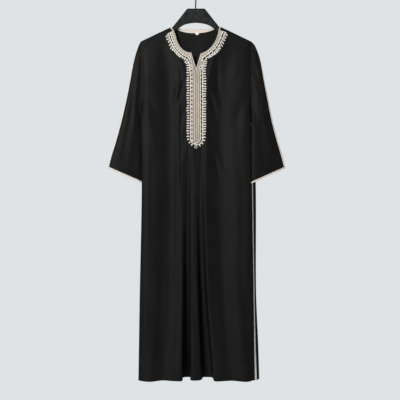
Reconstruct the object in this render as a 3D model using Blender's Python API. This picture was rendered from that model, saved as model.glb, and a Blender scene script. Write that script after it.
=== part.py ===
# Long kaftan with a braided neck and placket, hanging on a broad hanger.
#
# +X runs to the right as seen from the front, the front faces -Y and +Z is up.
# The origin is the inner top of the hook, where the whole thing is held.
# Sizes are millimetres until place() turns them into metres:
# "across" runs along X, "depth" runs back along Y, and "drop" runs down from the side of the neck.

import math
from collections import namedtuple

import bmesh
import bpy
from mathutils import Vector
from mathutils.bvhtree import BVHTree

MM = 0.001

# Driving dimensions
NECK_POINT_BELOW_HOOK = 151.7
GARMENT_LENGTH = 1390.0
SHOULDER_SLOPE = 0.477
RIDGE_LEVEL_ACROSS = 98.0
ARMHOLE_ACROSS = 218.0
UNDERARM_DROP = 320.0
CHEST_DROP = 229.0
NOTCH_FOOT_DROP = 178.0
WALL = 1.5
GAP = 0.3
TRIM_CLEARANCE = 0.45
SHOULDER_ROUNDING = 10.5
CHEST_DEPTH = 15.0
ARMHOLE_PINCH = 0.5
PINCH_WIDTH = 8.0
HANGING_REACH = 150.0
RIDGE_CREST = 0.3
NORMAL_STEP = 0.2
SHARPEST_FOLD_REACH = 3.0

# Hanger
HANGER_HALF_THICKNESS = 6.5
HANGER_EDGE_ROUNDING = 4.5
PLATEAU_DROP = -72.4
HOOK_WIRE_RADIUS = 2.0
HOOK_BEND_RADIUS = 20.0
HOOK_NECK_RADIUS = 8.0
HOOK_WIRE_SIDES = 8

# Trims
BINDING_WIDTH = 5.0
BINDING_RISE = 1.2
FACING_DEPTH = 12.3
FACING_END_DEPTH = 3.0
FACING_HALF_WIDTH = 75.0
FACING_CLEARANCE = 0.6
FACING_THICKNESS = 0.9
TAG_LEFT = -1.5
TAG_RIGHT = 10.5
TAG_TOP = 22.6
TAG_BOTTOM = 28.4
TAG_THICKNESS = 0.8
PLACKET_EDGE_LEFT = -27.3
PLACKET_EDGE_RIGHT = 30.2
PLACKET_CENTRE = 1.4
PLACKET_ROUNDING_DROP = 431.0
BAND_SMOOTH_DROP = 150.0
PLACKET_ROUNDING_HEIGHT = 35.0
LOOP_PITCH = 9.7
LOOP_LENGTH = 10.2
LOOP_RIM = 1.6
LOOP_THICKNESS = 1.6
LOOP_CLEARANCE = 0.6
STRIP_THICKNESS = 1.3
SIDE_BRAID_CLEARANCE = 0.6
SIDE_BRAID_TOP = 375.0
CUFF_BINDING_WIDTH = 7.0
CUFF_BINDING_STANDOFF = 0.6
RING_RADIUS = 6.5
RING_CORD_RADIUS = 1.4

# Heights of the named levels that the fold tables give, as drops
LEVELS = (CHEST_DROP, 645.0, 1037.0, GARMENT_LENGTH)

# One row for each line that a fold of the front follows down the cloth.
# The first four columns are its place across at the chest, waist, knee and hem,
# the next four how far it stands out from the cloth's mean depth there.
# "steps" is the number of columns of cloth up to the next line.
FrontLine = namedtuple("FrontLine", "name chest waist knee hem out_chest out_waist out_knee out_hem steps")
FRONT_LINES = (
    FrontLine("side front", -194, -194, -200, -202, -1, -2, 8, 20, 2),
    FrontLine("left lobe", -158, -158, -162, -179, 0, 1, 12, 25, 2),
    FrontLine("soft band", -115, -122, -126, -153, -4, -8, 2, 18, 2),
    FrontLine("thin ridge", -77, -75, -82, -96, 2, 5, 14, 26, 2),
    FrontLine("lobe edge", -55, -48, -51, -57, 0, 2, 12, 22, 3),
    FrontLine("left recess, left", -43, -35, -41, -45, 0, -7, -26, -38, 2),
    FrontLine("left recess, right", -28, -25, -28, -19, 0, -8, -28, -40, 3),
    FrontLine("tongue left", -14, -15, -14, -12, 0, 1, 6, 10, 2),
    FrontLine("tongue right", 1, 0, 10, 21, 0, 0, 4, 6, 3),
    FrontLine("right recess, left", 17, 9, 24, 32, 0, -3, -24, -38, 2),
    FrontLine("right recess, right", 32, 19, 39, 66, 0, -4, -22, -34, 3),
    FrontLine("right lobe edge", 48, 36, 61, 83, 0, 2, 12, 18, 2),
    FrontLine("right bulge", 71, 63, 84, 112, 0, 1, 13, 29, 2),
    FrontLine("right soft band", 93, 89, 112, 161, -3, -6, 4, 19, 2),
    FrontLine("right lobe", 158, 158, 173, 202, 1, 0, 10, 25, 2),
)
FRONT_MEAN_DEPTH = (15.0, 17.0, 16.0, 16.0)
THIN_RIDGE = 3
RIGHT_BULGE = 12

# Where the front's outer lines start on the shoulder ridge, by line
FRONT_SHOULDER_ACROSS = {-2: -217.85, -1: -213.0, 0: -194.0, 1: -158.0, 2: -130.0,
                         13: 140.0, 14: 185.0, 15: 213.0, 16: 217.85}

# One row for each fold line of the back, with the same columns
BackLine = namedtuple("BackLine", "name chest waist knee hem out_chest out_waist out_knee out_hem steps")
BACK_LINES = (
    BackLine("left turn", -196, -196, -200, -203, -1, -5, -12, -16, 2),
    BackLine("left flute", -150, -150, -152, -158, 0, 1, 4, 12, 2),
    BackLine("left valley", -108, -108, -110, -118, 0, -3, -8, -12, 2),
    BackLine("inner left flute", -68, -70, -72, -74, 0, 3, 8, 14, 2),
    BackLine("centre left valley", -30, -28, -24, -24, 0, -3, -7, -8, 2),
    BackLine("centre flute", 10, 14, 20, 22, 0, 2, 6, 10, 2),
    BackLine("centre right valley", 50, 54, 58, 62, 0, -2, -6, -8, 2),
    BackLine("inner right flute", 96, 96, 100, 108, 0, 3, 9, 14, 2),
    BackLine("right valley", 140, 140, 142, 150, 0, -3, -6, -8, 2),
    BackLine("right turn", 190, 190, 198, 208, -1, -4, -4, 0, 2),
)
BACK_MEAN_DEPTH = (15.0, 19.0, 32.0, 44.0)
BACK_NECK_LEFT = 2
BACK_NECK_RIGHT = 7
BACK_SHOULDER_ACROSS = {-2: -217.85, -1: -213.0, 0: -194.0, 1: -150.0,
                        8: 140.0, 9: 185.0, 10: 213.0, 11: 217.85}
BACK_NECK_DIP = 7.3

# The sides below the chest: a row for each height, with the two edges of the front and the seams
Side = namedtuple("Side", "drop left_edge left_edge_depth left_seam left_seam_depth "
                          "right_edge right_edge_depth right_seam right_seam_depth")
SIDES = (
    Side(229, -213.0, -9.5, -217.85, -7.5, 213.0, -9.5, 217.85, -7.5),
    Side(285, -213.5, -8.5, -217.85, -6.0, 213.5, -8.5, 217.85, -6.0),
    Side(320, -216.0, -4.5, -217.85, -0.15, 216.0, -4.5, 217.85, -0.15),
    Side(365, -216.3, -7.0, -213.0, -1.0, 217.5, -9.0, 219.0, -3.0),
    Side(645, -214.0, -7.5, -209.0, -0.5, 219.6, -10.0, 220.4, -2.5),
    Side(1037, -221.0, -12.0, -216.0, -5.0, 222.8, -15.0, 224.5, -8.0),
    Side(1250, -224.0, -15.0, -219.0, -8.0, 226.3, -19.0, 231.0, -14.0),
    Side(1390, -225.7, -19.0, -220.5, -12.0, 230.2, -22.0, 238.0, -20.0),
)
# The back's own outer edges, behind the seams
BackSide = namedtuple("BackSide", "drop left_edge left_edge_depth right_edge right_edge_depth")
BACK_SIDES = (
    BackSide(229, -213.0, 9.5, 213.0, 9.5),
    BackSide(285, -213.5, 8.5, 213.5, 8.5),
    BackSide(320, -216.0, 4.5, 216.0, 4.5),
    BackSide(342, -213.5, 3.8, 221.0, 6.0),
    BackSide(365, -209.5, 3.0, 225.0, 6.5),
    BackSide(450, -206.5, 3.5, 230.0, 5.5),
    BackSide(645, -204.0, 4.5, 236.5, 4.0),
    BackSide(1037, -211.0, 2.0, 236.8, -2.0),
    BackSide(1250, -214.0, 2.0, 244.0, -6.0),
    BackSide(1390, -216.0, 0.0, 247.8, -11.0),
)

# Edge of the cloth at the front of the neck, from each shoulder to the corner of the notch
NECK_LEFT = ((-105.0, 3.3), (-95.5, 10.5), (-88.6, 22.0), (-75.6, 63.0), (-58.7, 89.4), (-37.0, 104.6),
             (-20.7, 107.5))
NECK_RIGHT = ((100.0, 1.0), (97.2, 4.0), (94.8, 9.5), (85.7, 44.8), (68.9, 76.0), (40.9, 102.0),
              (20.7, 110.5))
NOTCH_FOOT_ACROSS = 1.0
NECK_LEFT_SHARES = (0.0, 0.012, 0.045, 0.14, 0.28, 0.42, 0.56, 0.68, 0.79, 0.9, 1.0)
NECK_RIGHT_SHARES = (1.0, 0.84, 0.66, 0.46, 0.25, 0.05, 0.013, 0.0)
# Places across the back of the neck, as shares of its width
BACK_NECK_SHARES = (0.0, 0.012, 0.05, 0.16, 0.33, 0.5, 0.67, 0.84, 0.95, 0.988, 1.0)
NOTCH_LEFT_SHARES = (0.0, 0.5, 1.0)
NOTCH_RIGHT_SHARES = (1.0, 0.67, 0.33, 0.0)

# Rows of cloth: drops below each column's own top, shares of the way to the chest, then fixed drops
TOP_DROPS = (0.0, 1.2, 4.0, 10.5)
FRONT_SHARES = (0.3, 0.6)
BACK_SHARES = (0.5,)
LOWER_DROPS = (229, 285, 320, 342, 375, 450, 550, 660, 790, 920, 1050, 1170, 1290, 1390)

# Sleeve sections, from the armhole to the cuff: where the outer fold and the inner fold lie,
# how deep the inner fold sits, how much the tube bellies, how full its lower part is,
# and how far the outer fold is turned to the front in degrees
Sleeve = namedtuple("Sleeve", "outer_drop inner_drop belly fullness left_outer left_inner left_depth left_turn "
                              "right_outer right_inner right_depth right_turn")
SLEEVE_SECTIONS = (
    Sleeve(57.2, 320, 7.4, 0.8, 218.15, 218.15, 0.0, 0, 218.15, 218.15, 0.0, 0),
    Sleeve(76, 326, 9.0, 0.78, 227.5, 218.4, 0.3, -15, 234.0, 218.4, -0.5, -20),
    Sleeve(130, 335, 10.5, 0.76, 245.0, 218.5, 0.8, -5, 254.0, 218.9, -1.8, -15),
    Sleeve(210, 352, 11.5, 0.8, 261.0, 217.8, 3.0, 12, 269.0, 220.4, -5.0, 0),
    Sleeve(290, 385, 12.0, 0.9, 277.0, 214.8, 8.0, 18, 285.0, 222.4, -9.5, 15),
    Sleeve(368, 435, 12.5, 1.0, 295.0, 211.5, 11.0, 18, 300.5, 223.5, -13.0, 18),
    Sleeve(446, 495, 12.5, 1.0, 315.5, 210.5, 12.0, 12, 320.5, 223.5, -14.5, 18),
    Sleeve(512, 563, 12.5, 1.0, 334.5, 210.0, 12.5, -10, 340.0, 223.0, -14.5, 18),
    Sleeve(558.5, 627, 12.5, 1.0, 346.0, 209.5, 12.5, -15, 351.2, 221.0, -14.5, 15),
)
NOSE_ANGLES = (-48.0, -16.0, 16.0, 48.0)
NOSE_RADIUS = 4.7
NOSE_SHARE_OF_BELLY = 0.62
# Half of a sleeve section past its nose: place along the section and depth as a share of the belly
SLEEVE_HALF = ((0.09, 0.68), (0.25, 1.0), (0.5, 1.0), (0.75, 0.85), (0.93, 0.55))
SLEEVE_TIP_HALF_DEPTH = 2.7
SLEEVE_TIP_REACH = 1.0
SLEEVE_TIP_LEAN = 0.6
# The first section's tip lies along the side seam: smaller across, longer along the sleeve
FIRST_TIP_DEPTH = 0.8
FIRST_TIP_REACH = 3.0
SLEEVE_LOWER_PART = 0.6
SLEEVE_NOSE_END = 0.1
SLEEVE_NOSE_LEAN = 0.35

# Braid band: a row for each section, from the shoulder to the foot of the notch,
# with its inner and outer edge
Band = namedtuple("Band", "inner inner_drop outer outer_drop")
BAND_LEFT = (
    Band(-91.0, 20.0, -112.0, 32.0),
    Band(-84.0, 40.0, -104.0, 53.0),
    Band(-76.6, 64.5, -94.0, 76.0),
    Band(-67.5, 80.0, -83.0, 95.0),
    Band(-55.0, 94.5, -69.5, 111.0),
    Band(-38.0, 106.3, -53.0, 124.5),
    Band(-21.5, 109.8, -36.0, 138.0),
    Band(-15.5, 131.0, -28.6, 156.0),
    Band(-8.4, 155.0, PLACKET_EDGE_LEFT, 176.0),
    Band(0.6, 182.0, PLACKET_EDGE_LEFT, 197.0),
)
BAND_RIGHT = (
    Band(94.0, 18.0, 118.0, 25.5),
    Band(90.5, 33.0, 110.0, 42.0),
    Band(84.8, 52.0, 100.5, 64.0),
    Band(77.0, 66.0, 90.5, 82.0),
    Band(66.0, 81.0, 76.5, 101.5),
    Band(51.0, 95.5, 62.0, 113.5),
    Band(36.0, 106.0, 46.0, 125.5),
    Band(21.5, 112.8, 35.0, 138.0),
    Band(16.5, 131.0, 31.4, 156.0),
    Band(10.2, 155.0, PLACKET_EDGE_RIGHT, 176.0),
    Band(1.7, 182.0, PLACKET_EDGE_RIGHT, 197.0),
)
PLACKET_DROPS = (240.0, 290.0, 340.0, 386.0, PLACKET_ROUNDING_DROP)
PLACKET_END_ANGLES = (18.0, 36.0, 54.0, 72.0, 90.0)
PLACKET_END_INNER = 22.0

# Across the braid band, from the inner edge to the outer: share of the width, height of the face
BAND_PROFILE = ((0.0, 1.3), (0.1, 2.0), (0.22, 1.3), (0.34, 2.0), (0.46, 1.3), (0.57, 2.5), (0.68, 1.2),
                (0.8, 1.2), (0.9, 2.5), (1.0, 1.2))

# Right half of the hanger's outline, from the middle of the top to the middle of the arch
HANGER_OUTLINE = ((33.0, -72.4), (37.0, -69.5), (64.5, -34.0), (93.3, 1.5), (199.0, 51.9), (203.0, 56.5),
                  (203.0, 66.0), (198.0, 70.5), (130.0, 42.0), (95.0, 24.0), (75.0, 10.0), (52.0, -6.5),
                  (28.0, -14.2), (0.0, -17.3))


def place(across, depth, drop):
    """World position, in metres, of a point given in garment millimetres."""
    return Vector((across * MM, depth * MM, -(NECK_POINT_BELOW_HOOK + drop) * MM))


def clear_scene():
    for thing in list(bpy.data.objects):
        bpy.data.objects.remove(thing, do_unlink=True)


def make_material(name, colour, roughness, metallic=0.0):
    material = bpy.data.materials.new(name)
    material.use_nodes = True
    shader = material.node_tree.nodes["Principled BSDF"]
    shader.inputs["Base Color"].default_value = (*colour, 1.0)
    shader.inputs["Roughness"].default_value = roughness
    shader.inputs["Metallic"].default_value = metallic
    material.diffuse_color = (*colour, 1.0)
    return material


def smooth_step(value):
    share = min(max(value, 0.0), 1.0)
    return share * share * (3.0 - 2.0 * share)


def curve_value(knots, values, at):
    """Value at a place on the smooth curve through values at rising knots, level past both ends."""
    if at <= knots[0]:
        return values[0]
    if at >= knots[-1]:
        return values[-1]
    last = len(knots) - 1
    span = max(i for i in range(last) if knots[i] <= at)

    def slope(i):
        low, high = max(i - 1, 0), min(i + 1, last)
        return (values[high] - values[low]) / (knots[high] - knots[low])

    width = knots[span + 1] - knots[span]
    t = (at - knots[span]) / width
    start, end = values[span], values[span + 1]
    return ((2 * t ** 3 - 3 * t ** 2 + 1) * start + (t ** 3 - 2 * t ** 2 + t) * width * slope(span)
            + (-2 * t ** 3 + 3 * t ** 2) * end + (t ** 3 - t ** 2) * width * slope(span + 1))


def table_value(rows, column, at):
    """Value of a named column of a table of heights, at a drop."""
    knots = [row.drop for row in rows]
    return curve_value(knots, [getattr(row, column) for row in rows], at)


def through(points, steps):
    """Points on the smooth curve through the given ones, with a number of steps for each span."""
    spots = [Vector((*point, 0.0)[:3]) for point in points]
    widths = [(b - a).length for a, b in zip(spots, spots[1:])]
    slopes = [(b - a) / width for a, b, width in zip(spots, spots[1:], widths)]
    tangents = [slopes[0]]
    for i in range(1, len(slopes)):
        before, after = widths[i - 1], widths[i]
        tangents.append((slopes[i - 1] * after + slopes[i] * before) / (before + after))
    tangents.append(slopes[-1])
    made = []
    for i, count in enumerate(steps):
        for k in range(count):
            t = k / count
            spot = (spots[i] * (2 * t ** 3 - 3 * t ** 2 + 1) + spots[i + 1] * (3 * t ** 2 - 2 * t ** 3)
                    + tangents[i] * widths[i] * (t ** 3 - 2 * t ** 2 + t)
                    + tangents[i + 1] * widths[i] * (t ** 3 - t ** 2))
            made.append(tuple(spot)[:len(points[0])])
    made.append(tuple(points[-1]))
    return made


def at_shares(points, shares, steps=8):
    """Points at shares of the length of a curve through the given ones; one step keeps it straight."""
    fine = through(points, [steps] * (len(points) - 1))
    lengths = [0.0]
    for a, b in zip(fine, fine[1:]):
        lengths.append(lengths[-1] + math.dist(a, b))
    made = []
    for share in shares:
        wanted = share * lengths[-1]
        i = max(k for k in range(len(fine) - 1) if lengths[k] <= wanted + 1e-9)
        t = (wanted - lengths[i]) / (lengths[i + 1] - lengths[i])
        made.append(tuple(a + (b - a) * t for a, b in zip(fine[i], fine[i + 1])))
    return made


def ridge_drop(across):
    return SHOULDER_SLOPE * (abs(across) - RIDGE_LEVEL_ACROSS)


def upper_depth(across, drop):
    """Distance of the cloth from the middle plane above the chest: round over the shoulder, then hanging."""
    below = max(drop - ridge_drop(across), 0.0)
    if below < SHOULDER_ROUNDING:
        depth = math.sqrt(SHOULDER_ROUNDING ** 2 - (SHOULDER_ROUNDING - below) ** 2)
    else:
        depth = SHOULDER_ROUNDING + (CHEST_DEPTH - SHOULDER_ROUNDING) * smooth_step(
            (below - SHOULDER_ROUNDING) / HANGING_REACH)
    inset = (ARMHOLE_ACROSS - abs(across)) / PINCH_WIDTH
    return depth * (1.0 - (1.0 - ARMHOLE_PINCH) * math.exp(-inset * inset))


def line_points(lines, mean_depth, side, drop):
    """Where each fold line lies at a drop: (across, depth), with depth positive away from the middle."""
    points = []
    for line in lines:
        across = curve_value(LEVELS, (line.chest, line.waist, line.knee, line.hem), drop)
        out = curve_value(LEVELS, (line.out_chest, line.out_waist, line.out_knee, line.out_hem), drop)
        points.append((across, side * (curve_value(LEVELS, mean_depth, drop) + out)))
    return points


def front_section(drop):
    """Columns of the front at a drop below the chest, from the left seam to the right one."""
    left_seam = (table_value(SIDES, "left_seam", drop), table_value(SIDES, "left_seam_depth", drop))
    left_edge = (table_value(SIDES, "left_edge", drop), table_value(SIDES, "left_edge_depth", drop))
    right_edge = (table_value(SIDES, "right_edge", drop), table_value(SIDES, "right_edge_depth", drop))
    right_seam = (table_value(SIDES, "right_seam", drop), table_value(SIDES, "right_seam_depth", drop))
    points = [left_seam, left_edge] + line_points(FRONT_LINES, FRONT_MEAN_DEPTH, -1, drop)
    points += [right_edge, right_seam]
    return through(points, FRONT_STEPS)


def back_section(drop):
    """Columns of the back at a drop below the chest, from the left seam to the right one."""
    seam_side = -1.0 if drop < UNDERARM_DROP else 1.0
    left_seam_depth = seam_side * table_value(SIDES, "left_seam_depth", drop)
    right_seam_depth = seam_side * table_value(SIDES, "right_seam_depth", drop)
    left_seam = (table_value(SIDES, "left_seam", drop), left_seam_depth)
    right_seam = (table_value(SIDES, "right_seam", drop), right_seam_depth)
    if drop == UNDERARM_DROP:
        left_seam = (left_seam[0], GAP / 2)
        right_seam = (right_seam[0], GAP / 2)
    left_edge = (table_value(BACK_SIDES, "left_edge", drop), table_value(BACK_SIDES, "left_edge_depth", drop))
    right_edge = (table_value(BACK_SIDES, "right_edge", drop), table_value(BACK_SIDES, "right_edge_depth", drop))
    points = [left_seam, left_edge] + line_points(BACK_LINES, BACK_MEAN_DEPTH, 1, drop)
    points += [right_edge, right_seam]
    return through(points, BACK_STEPS)


FRONT_STEPS = [2, 2] + [line.steps for line in FRONT_LINES] + [2]
BACK_STEPS = [2, 2] + [line.steps for line in BACK_LINES] + [2]


def column_of(line, steps):
    """Index of the column of cloth that follows a fold line; the seam and the edge come first."""
    return sum(steps[:line + 2])


def top_points(lines, steps, shoulder_across, neck_points, neck_first, neck_last):
    """Top of each column as (across, drop): shoulder ridge outside the neck, neck edge inside it."""
    tops = []
    for line in range(-2, len(lines) + 1):
        if neck_first <= line < neck_last:
            continue
        if line == neck_last:
            tops += neck_points[:-1]
            here = neck_points[-1][0]
        else:
            here = shoulder_across[line]
        there = neck_points[0][0] if line + 1 == neck_first else shoulder_across[line + 1]
        count = steps[line + 2]
        for k in range(count):
            across = here + (there - here) * k / count
            tops.append((across, ridge_drop(across)))
    last = shoulder_across[len(lines) + 1]
    tops.append((last, ridge_drop(last)))
    return tops


def front_neck_points():
    foot = (NOTCH_FOOT_ACROSS, NOTCH_FOOT_DROP)
    points = at_shares(NECK_LEFT, NECK_LEFT_SHARES)[:-1]
    points += at_shares((NECK_LEFT[-1], foot), NOTCH_LEFT_SHARES)[:-1]
    points += at_shares((NECK_RIGHT[-1], foot), NOTCH_RIGHT_SHARES)[:-1]
    points += at_shares(NECK_RIGHT, NECK_RIGHT_SHARES)
    return points


def back_neck_points():
    left, right = NECK_LEFT[0], NECK_RIGHT[0]
    points = []
    for share in BACK_NECK_SHARES:
        across = left[0] + (right[0] - left[0]) * share
        dip = BACK_NECK_DIP * (1.0 - (2.0 * share - 1.0) ** 2)
        points.append((across, left[1] + (right[1] - left[1]) * share + dip))
    return points


def cloth_points(side, tops, section, shares):
    """Outer points of a body panel, a row for each height from the shoulder to the hem."""
    chest = section(CHEST_DROP)
    outs = []
    for i, (across, depth) in enumerate(chest):
        outs.append(abs(depth) - upper_depth(across, CHEST_DROP))
    rows = []
    for j in range(len(TOP_DROPS) + len(shares)):
        row = []
        for i, (top_across, top_drop) in enumerate(tops):
            start = top_drop + TOP_DROPS[-1]
            if j < len(TOP_DROPS):
                drop = top_drop + TOP_DROPS[j]
            else:
                drop = start + (CHEST_DROP - start) * shares[j - len(TOP_DROPS)]
            way = smooth_step((drop - top_drop) / (CHEST_DROP - top_drop))
            across = top_across + (chest[i][0] - top_across) * way
            depth = max(upper_depth(across, drop), GAP / 2) + outs[i] * way
            row.append((across, side * depth, drop))
        rows.append(row)
    for drop in LOWER_DROPS:
        rows.append([(across, depth, drop) for across, depth in section(drop)])
    return rows


def upper_normal(across, drop, side):
    """Normal of the cloth near the shoulder and the neck, worked out from its depth."""
    if drop - ridge_drop(across) < RIDGE_CREST:
        return Vector((SHOULDER_SLOPE * math.copysign(1.0, across), 0.0, -1.0)).normalized()
    step = NORMAL_STEP
    sideways = (upper_depth(across + step, drop) - upper_depth(across - step, drop)) / (2 * step)
    downward = (upper_depth(across, drop + step) - upper_depth(across, drop - step)) / (2 * step)
    return Vector((-sideways, side, -downward)).normalized()


def direction_at(before, here, after):
    """Direction of a line through three points, halving its turn; the ends repeat a point."""
    total = Vector((0.0, 0.0, 0.0))
    for step in (Vector(here) - Vector(before), Vector(after) - Vector(here)):
        if step.length > 0:
            total += step.normalized()
    return total.normalized()


def grid_normals(rows, side):
    """Unit normals of a panel's grid of points, pointing to its own side of the garment."""
    normals = []
    for j, row in enumerate(rows):
        line = []
        above, below = rows[max(j - 1, 0)], rows[min(j + 1, len(rows) - 1)]
        for i, point in enumerate(row):
            if j < len(TOP_DROPS):
                line.append(upper_normal(point[0], point[2], side))
                continue
            along = direction_at(row[max(i - 1, 0)], point, row[min(i + 1, len(row) - 1)])
            down = direction_at(above[i], point, below[i])
            line.append((down.cross(along) * side).normalized())
        normals.append(line)
    return normals


def fold_reach(row, i, normal):
    """How much further a wall's inner point lies from its outer point where the cloth folds sharply."""
    reach = 1.0
    for k in (i - 1, i + 1):
        if 0 <= k < len(row):
            away = (Vector(row[k]) - Vector(row[i])).normalized()
            away.z = 0.0
            if away.length > 0:
                lean = abs(away.normalized().dot(normal))
                reach = max(reach, 1.0 / math.sqrt(max(1.0 - lean * lean, SHARPEST_FOLD_REACH ** -2)))
    return min(reach, SHARPEST_FOLD_REACH)


def wall_object(name, outer, inner, material, around=False):
    """A wall between two grids of points in garment millimetres; around closes it into a tube."""
    rows, columns = len(outer), len(outer[0])
    mesh = bmesh.new()
    face_points = [[mesh.verts.new(place(*point)) for point in row] for row in outer]
    inside_points = [[mesh.verts.new(place(*point)) for point in row] for row in inner]
    spans = columns if around else columns - 1
    for j in range(rows - 1):
        for i in range(spans):
            n = (i + 1) % columns
            for points in (face_points, inside_points):
                mesh.faces.new((points[j][i], points[j][n], points[j + 1][n], points[j + 1][i]))
    for j in (0, rows - 1):
        for i in range(spans):
            n = (i + 1) % columns
            mesh.faces.new((face_points[j][i], face_points[j][n], inside_points[j][n], inside_points[j][i]))
    if not around:
        for i in (0, columns - 1):
            for j in range(rows - 1):
                mesh.faces.new((face_points[j][i], face_points[j + 1][i], inside_points[j + 1][i],
                                inside_points[j][i]))
    return finish_object(name, mesh, material)


def loft_object(name, rings, material, closed):
    """A solid through closed sections in garment millimetres, joined end to end or capped."""
    mesh = bmesh.new()
    points = [[mesh.verts.new(place(*point)) for point in ring] for ring in rings]
    sides = len(rings[0])
    for k in range(len(rings) if closed else len(rings) - 1):
        n = (k + 1) % len(rings)
        for i in range(sides):
            m = (i + 1) % sides
            mesh.faces.new((points[k][i], points[n][i], points[n][m], points[k][m]))
    if not closed:
        mesh.faces.new(points[0])
        mesh.faces.new(points[-1])
    return finish_object(name, mesh, material)


def finish_object(name, mesh, material):
    bmesh.ops.recalc_face_normals(mesh, faces=mesh.faces)
    data = bpy.data.meshes.new(name)
    mesh.to_mesh(data)
    mesh.free()
    data.materials.append(material)
    data.shade_smooth()
    data.set_sharp_from_angle(angle=math.radians(50))
    thing = bpy.data.objects.new(name, data)
    bpy.context.collection.objects.link(thing)
    return thing


def mended_seam(rows, index, neighbour, shift):
    """Moves an end column of a panel along the cloth, to leave its half of the seam's gap."""
    for row in rows:
        end, near = Vector(row[index]), Vector(row[neighbour])
        row[index] = tuple(end + (near - end).normalized() * shift)


def body_panels(cloth):
    """Front and back as two walls with one run of normals across the seams below the underarm."""
    front_tops = top_points(FRONT_LINES, FRONT_STEPS, FRONT_SHOULDER_ACROSS, front_neck_points(),
                            THIN_RIDGE, RIGHT_BULGE)
    back_tops = top_points(BACK_LINES, BACK_STEPS, BACK_SHOULDER_ACROSS, back_neck_points(),
                           BACK_NECK_LEFT, BACK_NECK_RIGHT)
    front = cloth_points(-1, front_tops, front_section, FRONT_SHARES)
    back = cloth_points(1, back_tops, back_section, BACK_SHARES)
    front_normals = grid_normals(front, -1)
    back_normals = grid_normals(back, 1)
    share_seam_normals(front, front_normals, back, back_normals)
    inner_front = panel_inside(front, front_normals, front_tops)
    inner_back = panel_inside(back, back_normals, back_tops)
    for rows in (front, back):
        below = [row for row in rows if row[0][2] > UNDERARM_DROP]
        mended_seam(below, 0, 1, GAP / 2)
        mended_seam(below, -1, -2, GAP / 2)
    for outer, inner in ((front, inner_front), (back, inner_back)):
        for outer_row, inner_row in zip(outer, inner):
            if outer_row[0][2] <= UNDERARM_DROP:
                continue
            for index, near in ((0, 1), (-1, -2)):
                pull = Vector(inner_row[near]) - Vector(inner_row[index])
                inner_row[index] = tuple(Vector(inner_row[index]) + pull.normalized() * GAP / 2)
    wall_object("front_panel", front, inner_front, cloth)
    wall_object("back_panel", back, inner_back, cloth)
    return front, front_normals, back, back_normals


def share_seam_normals(front, front_normals, back, back_normals):
    """Gives both sides of each side seam the same normals, read from the back's rows by height."""
    for index in (0, -1):
        knots = [row[index][2] for row in back]
        back_curves = [[normal[index][axis] for normal in back_normals] for axis in range(3)]
        front_knots = [row[index][2] for row in front]
        front_curves = [[normal[index][axis] for normal in front_normals] for axis in range(3)]
        for rows, normals in ((front, front_normals), (back, back_normals)):
            for j, row in enumerate(rows):
                drop = row[index][2]
                if drop <= UNDERARM_DROP:
                    continue
                mine = Vector([curve_value(front_knots, curve, drop) for curve in front_curves])
                other = Vector([curve_value(knots, curve, drop) for curve in back_curves])
                normals[j][index] = (mine + other).normalized()


def panel_inside(rows, normals, tops):
    """Inner points of a panel, kept clear of its neighbours along the shoulder and the armholes."""
    inner = []
    for j, row in enumerate(rows):
        line = []
        for i, point in enumerate(row):
            offset = normals[j][i] * WALL
            if j >= len(TOP_DROPS):
                offset *= fold_reach(row, i, normals[j][i])
            on_ridge = j == 0 and abs(tops[i][1] - ridge_drop(tops[i][0])) < 0.01
            at_armhole = i in (0, len(row) - 1) and point[2] <= UNDERARM_DROP
            if on_ridge:
                offset = Vector((0.0, 0.0, -WALL))
            elif at_armhole and point[2] == UNDERARM_DROP:
                offset = Vector((math.copysign(WALL, point[0]), 0.0, WALL / 2))
            elif at_armhole:
                offset.x = 0.0
                offset = offset.normalized() * WALL
            line.append(tuple(Vector(point) - offset))
        inner.append(line)
    return inner


def sleeve_value(column, at):
    knots = list(range(len(SLEEVE_SECTIONS)))
    return curve_value(knots, [getattr(row, column) for row in SLEEVE_SECTIONS], at)


def sleeve_folds(side, at):
    """Points of the outer and the inner fold of a sleeve at a section number."""
    name = "left" if side < 0 else "right"
    outer = Vector((side * sleeve_value(name + "_outer", at), 0.0, sleeve_value("outer_drop", at)))
    inner = Vector((side * sleeve_value(name + "_inner", at), sleeve_value(name + "_depth", at),
                    sleeve_value("inner_drop", at)))
    return outer, inner


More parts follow.
